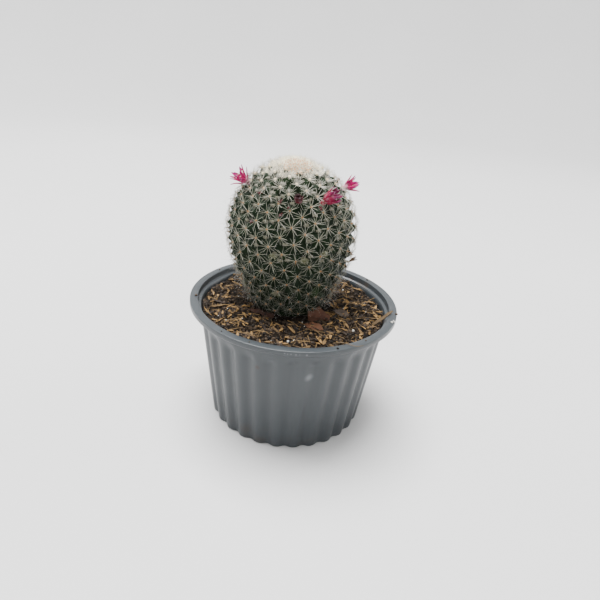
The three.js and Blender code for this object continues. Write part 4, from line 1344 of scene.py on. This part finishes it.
grow_piece("bristles", tubes(bristle_lines(), BRISTLE_WIDTH)[:2],
           fine_hair("bristle_hair", "#8a8983", "#c9c8c3"), "wool", smooth=False)
valleys = [valley_between(three) for three in threes]
axil_wool("axil", AXIL_TUFTS_FROM, YOUNG_TUFTS_FROM, AXIL_TUFT_SHARE,
          matted_wool("axil_matting", "#3f3f35", "#6f6d5d"), fine_hair("axil_hair", "#545246", "#918f80"))
axil_wool("young_axil", YOUNG_TUFTS_FROM, YOUNG_TUFTS_TO, 1,
          matted_wool("young_matting", "#504f45", "#807e70"), fine_hair("young_hair", "#6b6960", "#adab9f"))
green_tufts()
grow_piece("crown_wool", crown_cap(), matted_wool("crown_matting", "#f5e7c8", "#fffbee"), "wool")
grow_piece("crown_hair", tubes(cap_hair_lines(), CAP_HAIR_WIDTH)[:2],
           fine_hair("crown_hair", "#faf0d6", "#fffcf0"), "wool", smooth=False)
grow_piece("crown_specks", cap_specks(), matted_wool("young_felt", "#cb9a70", "#e8c8a6"), "wool")


# Blooms: each opens from an axil near the crown as a pale tube that spreads into whorls of narrow,
# pointed, silky magenta tepals, with purple tips and thread-like stamens. One bloom is still closed.
BLOOM_NECK = 4.2
BLOOM_TUBE_RADIUS = 1.4
BLOOM_THROAT_RADIUS = 2.3
BLOOM_CUP = 2.2
BLOOM_ROOT_DEPTH = 1.2
AXIL_DEPTH = 3
TEPAL_LENGTH = 6.4
TEPAL_WIDTH = 2.4
TEPAL_THICKNESS = 0.22
TEPAL_STEPS = 9
TUBE_STEPS = 9
TUBE_SIDES = 14
# Marks along a bloom: 0 at its foot, these at the throat and at the foot of a tepal, 1 at its tip.
THROAT_MARK = 0.35
TEPAL_MARK = 0.3
STAMENS = 14
STAMEN_WIDTH = 0.2
ANTHER_RADIUS = 0.26
ANTHER_RISE = 0.34
# Colours of the tepals at the foot, in the middle and at the tip. The magenta is their own; the side
# blooms are painted paler for light that shines through them from behind, and the bloom in front is
# painted deeper for the shade it stands in.
BACKLIT_MAGENTA = ("#e4aebe", "#9c0052", "#78005a")
SHADED_MAGENTA = ("#7c3038", "#680029", "#500038")
CLOSED_RED = ("#471a1c", "#420e16", "#2c0a12")
STAMEN_PINK = ("#c8356f", "#c8356f", "#e6a2b6")
# A bloom grows from the axil nearest to an angle in degrees round the plant and a height on it.
BLOOMS = {
    "bloom_left": {"angle": -167, "height": 71.9, "sway": (-0.4, -0.2, -0.5), "lean": (-0.64, -0.3, 0.68),
                   "scale": 1.04, "tepals": 5, "open_share": 1.1},
    "bloom_front": {"angle": -56, "height": 67.2, "sway": (0.8, 0.1, 1.1), "lean": (0.9, -0.34, 0.62),
                    "scale": 1.07, "tepals": 7, "open_share": 0.5, "neck": 3.2, "width": 3.1},
    "bloom_right": {"angle": 7, "height": 69.2, "sway": (0, 0, -0.35), "lean": (0.84, -0.1, 0.42),
                    "scale": 0.95, "tepals": 4, "open_share": 0.95},
}
CLOSED_BLOOM = {"angle": -83, "height": 69.6, "sway": (0, 0, -0.55), "lean": (0, -0.78, 0.6),
                "scale": 0.68, "tepals": 5, "open_share": 0.15, "width": 3.2}
DRIED_BLOOM = {"angle": -24, "height": 32.5, "lean": (0.78, -0.2, 0.66), "scale": 0.6, "tepals": 3}

# The blooms have random numbers of their own, so a change to the spines leaves them as they are.
dice = np.random.default_rng(4)


def bloom_seat(angle, height, sway=(0, 0, 0)):
    """The nearest axil to an angle round the plant and a height on it, and the way out, swayed a little."""
    row, _ = outline_at(HEIGHT, height)
    wanted = Vector(polar(row[RADIUS] - AXIL_DEPTH, math.radians(angle), row[HEIGHT]))
    place, outward = min(valleys, key=lambda valley: (valley[0] - wanted).length)
    return place - outward * BLOOM_ROOT_DEPTH, (outward + Vector(sway)).normalized()


def tepal(length, width, bend, keel):
    """A narrow pointed blade along +Z that faces the Z axis, and its marks from foot to tip."""
    rings, marks = [], []
    for t in np.linspace(0, 1, TEPAL_STEPS):
        half = max(width / 2 * math.sin(math.pi * (0.16 + 0.84 * t) ** 0.8) ** 0.75, 0.04)
        out = bend * length * t * t
        ring = [(out + keel * half * (1 - u * u), u * half, t * length) for u in (-1, -0.5, 0, 0.5, 1)]
        back = [(x + TEPAL_THICKNESS, y, z) for x, y, z in reversed(ring)]
        rings.append(ring + back)
        marks += [t] * len(rings[-1])
    points, faces = skin(rings)
    return points, faces, marks + [0, 1]


def bloom_tube(root, axis, throat, lean, cup, throat_radius):
    """The tube of a bloom, bent from the way out of its axil to the way it leans, and its marks."""
    rings, marks = [], []
    turns = [2 * math.pi * i / TUBE_SIDES for i in range(TUBE_SIDES)]
    for t in np.linspace(0, 1, TUBE_STEPS):
        middle = root * (1 - t) ** 2 + throat * (2 * t * (1 - t)) + cup * (t * t)
        way = (axis * (1 - t) + lean * t).normalized()
        across = Vector((0, 0, 1)).rotation_difference(way).to_matrix()
        radius = mix(BLOOM_TUBE_RADIUS, throat_radius, ease(0.45, 1, t))
        rings.append([middle + across @ Vector(polar(radius, turn, 0)) for turn in turns])
        marks += [THROAT_MARK * t] * TUBE_SIDES
    return skin(rings), np.array(marks + [0, THROAT_MARK])


def bloom_shapes(seat, lean, scale, tepals, open_share, neck=BLOOM_NECK, width=TEPAL_WIDTH):
    """Tube and tepals of a bloom, a mark for each point, and the place, turn and radius of its cup."""
    root, axis = seat
    throat = root + axis * (neck + BLOOM_ROOT_DEPTH)
    lean = Vector(lean).normalized()
    cup = throat + lean * (BLOOM_CUP * scale)
    turned = Vector((0, 0, 1)).rotation_difference(lean).to_matrix()
    throat_radius = BLOOM_THROAT_RADIUS * scale
    tube, tube_marks = bloom_tube(root, axis, throat, lean, cup, throat_radius)
    shapes, marks = [tube], [tube_marks]
    # Outer, middle and inner whorl: number, splay in degrees, share of the throat's radius, of the length.
    whorls = ((tepals, 21, 0.85, 0.86), (tepals - 1, 11, 0.6, 1), (3, 4, 0.35, 0.92))
    for w, (count, splay, start, share) in enumerate(whorls):
        for i in range(count):
            length = TEPAL_LENGTH * share * scale * dice.uniform(0.9, 1.06) + 1
            bend = open_share * dice.uniform(0.05, 0.3)
            points, faces, along = tepal(length, width * (0.6 + 0.4 * scale), bend, 0.35)
            tip = math.radians(splay * open_share + dice.uniform(-5, 5))
            spin = 2 * math.pi * (i + 0.5 * w + dice.uniform(-0.12, 0.12)) / count
            twist = Matrix.Rotation(dice.uniform(-0.4, 0.4), 3, "Z")
            turn = Matrix.Rotation(spin, 3, "Z") @ Matrix.Rotation(tip, 3, "Y") @ twist
            offset = Matrix.Rotation(spin, 3, "Z") @ Vector((throat_radius * start, 0, -0.9))
            shapes.append(([turned @ (turn @ Vector(p) + offset) + cup for p in points], faces))
            marks.append(mix(TEPAL_MARK, 1, np.array(along)))
    return shapes, marks, (cup, turned, throat_radius)


def stamen_lines(cup, turned, radius, scale):
    """Thin threads that stand in the throat."""
    lines = []
    for i in range(STAMENS):
        spin = 2 * math.pi * i / STAMENS + dice.uniform(-0.2, 0.2)
        out = radius * dice.uniform(0.15, 0.6)
        reach = TEPAL_LENGTH * scale * dice.uniform(0.45, 0.68)
        splay = dice.uniform(0.2, 0.42)
        lines.append([
            cup + turned @ Vector(polar(out + reach * splay * t, spin, reach * t - 0.4))
            for t in np.linspace(0, 1, 4)])
    return lines


def silky_tepals(name, codes, roughness):
    """Petal tissue: water-filled cells under a smooth skin, deeply coloured, with a satin shine."""
    material, shader = new_material(name, roughness, 1.4, specular=0.25)
    foot, middle, tip = (linear(code) for code in codes)
    along = mark_of(material, "along")
    lower = blend_colours(material, ramp(material, along, 0.05, 0.5), foot, middle)
    whole = blend_colours(material, ramp(material, along, 0.72, 1), lower, tip)
    paler = blend_colours(material, 0.14, whole, linear("#ffffff"))
    streaks = cloudy(material, object_place(material), 0.0012, 3)
    paint(material, shader, ramp(material, streaks, 0.5, 0.75), whole, paler)
    return material


def anther_pollen():
    """Pollen on the anthers: pale yellow dust."""
    material, shader = new_material("anther_pollen", 0.9, 1.5)
    dust = cloudy(material, object_place(material), 0.0003, 2)
    paint(material, shader, dust, linear("#efd9c4"), linear("#fbf3e6"))
    return material


def plant_bloom(node, piece_name, material, slot, angle, height, sway, **form):
    """A bloom in its axil, in place of its CAD node. It gives the place, turn and radius of its cup."""
    shapes, marks, opening = bloom_shapes(bloom_seat(angle, height, sway), **form)
    grow_piece(piece_name, (*gather(shapes), np.concatenate(marks)), material, slot, node)
    return opening


# Painted light: the side blooms get the paler backlit colours, the bloom in front the darker shaded ones.
backlit_magenta = silky_tepals("backlit_magenta_tepal", BACKLIT_MAGENTA, 0.5)
shaded_magenta = silky_tepals("shaded_magenta_tepal", SHADED_MAGENTA, 0.5)
bloom_materials = {"bloom_left": backlit_magenta, "bloom_front": shaded_magenta, "bloom_right": backlit_magenta}
stamens = []
for bloom_name, bloom in BLOOMS.items():
    opening = plant_bloom(bloom_name, bloom_name.replace("bloom", "flower"), bloom_materials[bloom_name],
                          "petals", **bloom)
    stamens += stamen_lines(*opening, bloom["scale"])
grow_piece("stamens", tubes(stamens, STAMEN_WIDTH), silky_tepals("stamen_thread", STAMEN_PINK, 0.5),
           "petals")
anthers = pads([line[-1] for line in stamens], [(0, 0, 1)] * len(stamens), [ANTHER_RADIUS] * len(stamens),
               [ANTHER_RISE] * len(stamens), rounds=1)
grow_piece("anthers", anthers, anther_pollen(), "petals")
plant_bloom("bloom_closed", "flower_closed", silky_tepals("closed_tepal", CLOSED_RED, 0.7), "closed_petals",
            **CLOSED_BLOOM)


# Withered flowers: an old bloom on its pale stalk, shrunk to brown strands, and dark red shreds of
# tepals that are caught between the spines.
STALK_WIDTH = 1.9
STRAND_WIDTH = 1.1
SHRED_WIDTH = 0.6
SHRED_STRANDS = 4
SHRED_LIFT = 0.6
WITHERED = ("#a89f8d", "#53402f", "#2e2117")
DARK_RED = ("#3f1a18", "#3f1016", "#220a0c")
# Shreds: angle in degrees, height and length.
SHREDS = ((-125.5, 69.9, 2.6), (-100, 68.3, 2.4), (-124, 57.2, 2.2), (-154, 72.3, 2.2), (-98.5, 62.3, 2),
          (-91.5, 66, 1.6), (-61.5, 65.1, 2.4), (20, 72, 2.2), (110, 70, 2.6), (75, 68, 2.2), (160, 71, 2.4))


def dried_flower(angle, height, lean, scale, tepals):
    """A thin stalk and a few shrunk strands, and their marks."""
    root, axis = bloom_seat(angle, height)
    lean = Vector(lean).normalized()
    throat = root + axis * (BLOOM_NECK + BLOOM_ROOT_DEPTH)
    cup = throat + lean * (BLOOM_CUP * scale)
    stalk = [root, root + axis * 2.6, throat, cup, cup + lean * 1.2]
    side = lean.orthogonal().normalized()
    over = lean.cross(side)
    reach = TEPAL_LENGTH * 0.8 * scale + 1
    strands = []
    for i in range(tepals + 2):
        spin = 2 * math.pi * i / (tepals + 2)
        out = (side * math.cos(spin) + over * math.sin(spin)) * dice.uniform(0.8, 1.5)
        kink = Vector(dice.normal(0, 0.35, 3))
        strands.append([cup + lean * reach * t + out * t * t + kink * math.sin(3 * t)
                        for t in np.linspace(0, 1, 5)])
    stalk_points, stalk_faces, stalk_marks = tubes([stalk], STALK_WIDTH, sides=7)
    strand_points, strand_faces, strand_marks = tubes(strands, STRAND_WIDTH, sides=5)
    points, faces = gather([(stalk_points, stalk_faces), (strand_points, strand_faces)])
    return points, faces, np.concatenate([stalk_marks * 0.3, 0.5 + 0.5 * strand_marks])


def tepal_shreds():
    """Small bundles of strands that lie across the spines, and their marks."""
    lines = []
    for angle, height, length in SHREDS:
        place, normal = skin_place(math.radians(angle), height)
        place += normal * SHRED_LIFT
        across = normal.orthogonal().normalized()
        for _ in range(SHRED_STRANDS):
            way = (across * dice.normal(0, 1) + normal.cross(across) * dice.normal(0, 1)).normalized()
            start = place - way * (length / 2) + Vector(dice.normal(0, 0.25, 3))
            lines.append([start + way * (length * t) + normal * 0.5 * math.sin(math.pi * t)
                          for t in np.linspace(0, 1, 4)])
    return tubes(lines, SHRED_WIDTH, sides=5)


grow_piece("flower_dried", dried_flower(**DRIED_BLOOM), silky_tepals("withered_tepal", WITHERED, 0.85),
           "dry_leaf", "bloom_dried")
grow_piece("tepal_shreds", tepal_shreds(), silky_tepals("dark_red_shred", DARK_RED, 0.85), "closed_petals")


# Floor, light and camera: a pale floor, broad soft lights from above, the front and both sides, a small
# one in front and an even surround, seen from the front and above by a camera that leans a little to
# one side.
FLOOR_RADIUS = 1200
SWEEP_RADIUS = 1000
SWEEP_HEIGHT = 2400
FLOOR_SIDES = 96
# Soft lights: place and size in metres, and power in watts.
LIGHTS = {
    "top_light": ((-0.3, 0.2, 2), 1.4, 190), "front_light": ((-0.6, -1.7, 0.9), 0.9, 9),
    "window_light": ((0.2, -1.6, 0.5), 0.1, 2), "right_light": ((1.3, 0.5, 0.5), 0.9, 11),
    "left_light": ((-1.3, 0.6, 0.5), 0.9, 4)}
LIGHT_AIM = Vector((0, 0, 0.08))
SURROUND_STRENGTH = 0.34
CAMERA_DISTANCE = 300
CAMERA_RISE = math.radians(26)
CAMERA_YAW = math.radians(0.659)
CAMERA_PITCH = math.radians(-0.248)
CAMERA_ROLL = math.radians(5.166)
FRAME_PIXELS = 600
PIXELS_PER_MM_AT_RIM = 1.705
SENSOR_WIDTH = 36


def pale_floor():
    """Matt painted board: a pale neutral grey, with no shine."""
    material, shader = new_material("matt_board", 0.9, 1.45)
    tone = cloudy(material, object_place(material), 1 / 3, 1)
    paint(material, shader, tone, linear("#bababa"), linear("#c0c0c0"))
    return material


def make_floor():
    """A round board with an upswept edge, so that no horizon shows behind the plant."""
    line = [(0, 0), (FLOOR_RADIUS / 2, 0), (FLOOR_RADIUS, 0)]
    for t in np.linspace(0, math.pi / 2, 17)[1:]:
        line.append((FLOOR_RADIUS + SWEEP_RADIUS * math.sin(t), SWEEP_RADIUS * (1 - math.cos(t))))
    line.append((FLOOR_RADIUS + SWEEP_RADIUS, SWEEP_HEIGHT))
    turns = [2 * math.pi * i / FLOOR_SIDES for i in range(FLOOR_SIDES)]
    rings = [[polar(max(radius, 1), turn, z) for turn in turns] for radius, z in line]
    points, faces = skin(rings, closed_ends=False)
    faces.append(list(range(FLOOR_SIDES)))
    mesh = bpy.data.meshes.new("floor")
    mesh.from_pydata((np.array(points) * MM).tolist(), [], faces)
    mesh.shade_smooth()
    mesh.materials.append(pale_floor())
    floor = bpy.data.objects.new("floor", mesh)
    bpy.context.collection.objects.link(floor)


def make_light(name, place, size, power):
    """A square soft light that looks at the plant."""
    lamp = bpy.data.lights.new(name, "AREA")
    lamp.size = size
    lamp.energy = power
    holder = bpy.data.objects.new(name, lamp)
    holder.location = place
    holder.rotation_euler = (LIGHT_AIM - Vector(place)).to_track_quat("-Z", "Y").to_euler()
    bpy.context.collection.objects.link(holder)


def make_surround():
    """An even white light from all sides."""
    surround = bpy.data.worlds.new("surround")
    surround.use_nodes = True
    background = surround.node_tree.nodes["Background"]
    background.inputs["Color"].default_value = linear("#ffffff")
    background.inputs["Strength"].default_value = SURROUND_STRENGTH
    bpy.context.scene.world = surround


def make_camera():
    """The camera, fitted to the rim, the wall and the foot of the pot."""
    back = Vector((0, -math.cos(CAMERA_RISE), math.sin(CAMERA_RISE)))
    place = Vector((0, 0, POT_HEIGHT)) + back * CAMERA_DISTANCE
    turned = Matrix((Vector((1, 0, 0)), Vector((0, math.sin(CAMERA_RISE), math.cos(CAMERA_RISE))), back))
    turned = turned.transposed()
    turned = turned @ Matrix.Rotation(-CAMERA_YAW, 3, "Y") @ Matrix.Rotation(CAMERA_PITCH, 3, "X")
    turned = turned @ Matrix.Rotation(CAMERA_ROLL, 3, "Z")
    lens = bpy.data.cameras.new("camera")
    lens.sensor_fit = "HORIZONTAL"
    lens.sensor_width = SENSOR_WIDTH
    lens.lens = PIXELS_PER_MM_AT_RIM * CAMERA_DISTANCE / FRAME_PIXELS * SENSOR_WIDTH
    lens.clip_start = 0.01
    camera = bpy.data.objects.new("camera", lens)
    camera.matrix_world = Matrix.Translation(place * MM) @ turned.to_4x4()
    bpy.context.collection.objects.link(camera)
    bpy.context.scene.camera = camera


make_floor()
for light_name, (light_place, light_size, light_power) in LIGHTS.items():
    make_light(light_name, light_place, light_size, light_power)
make_surround()
make_camera()
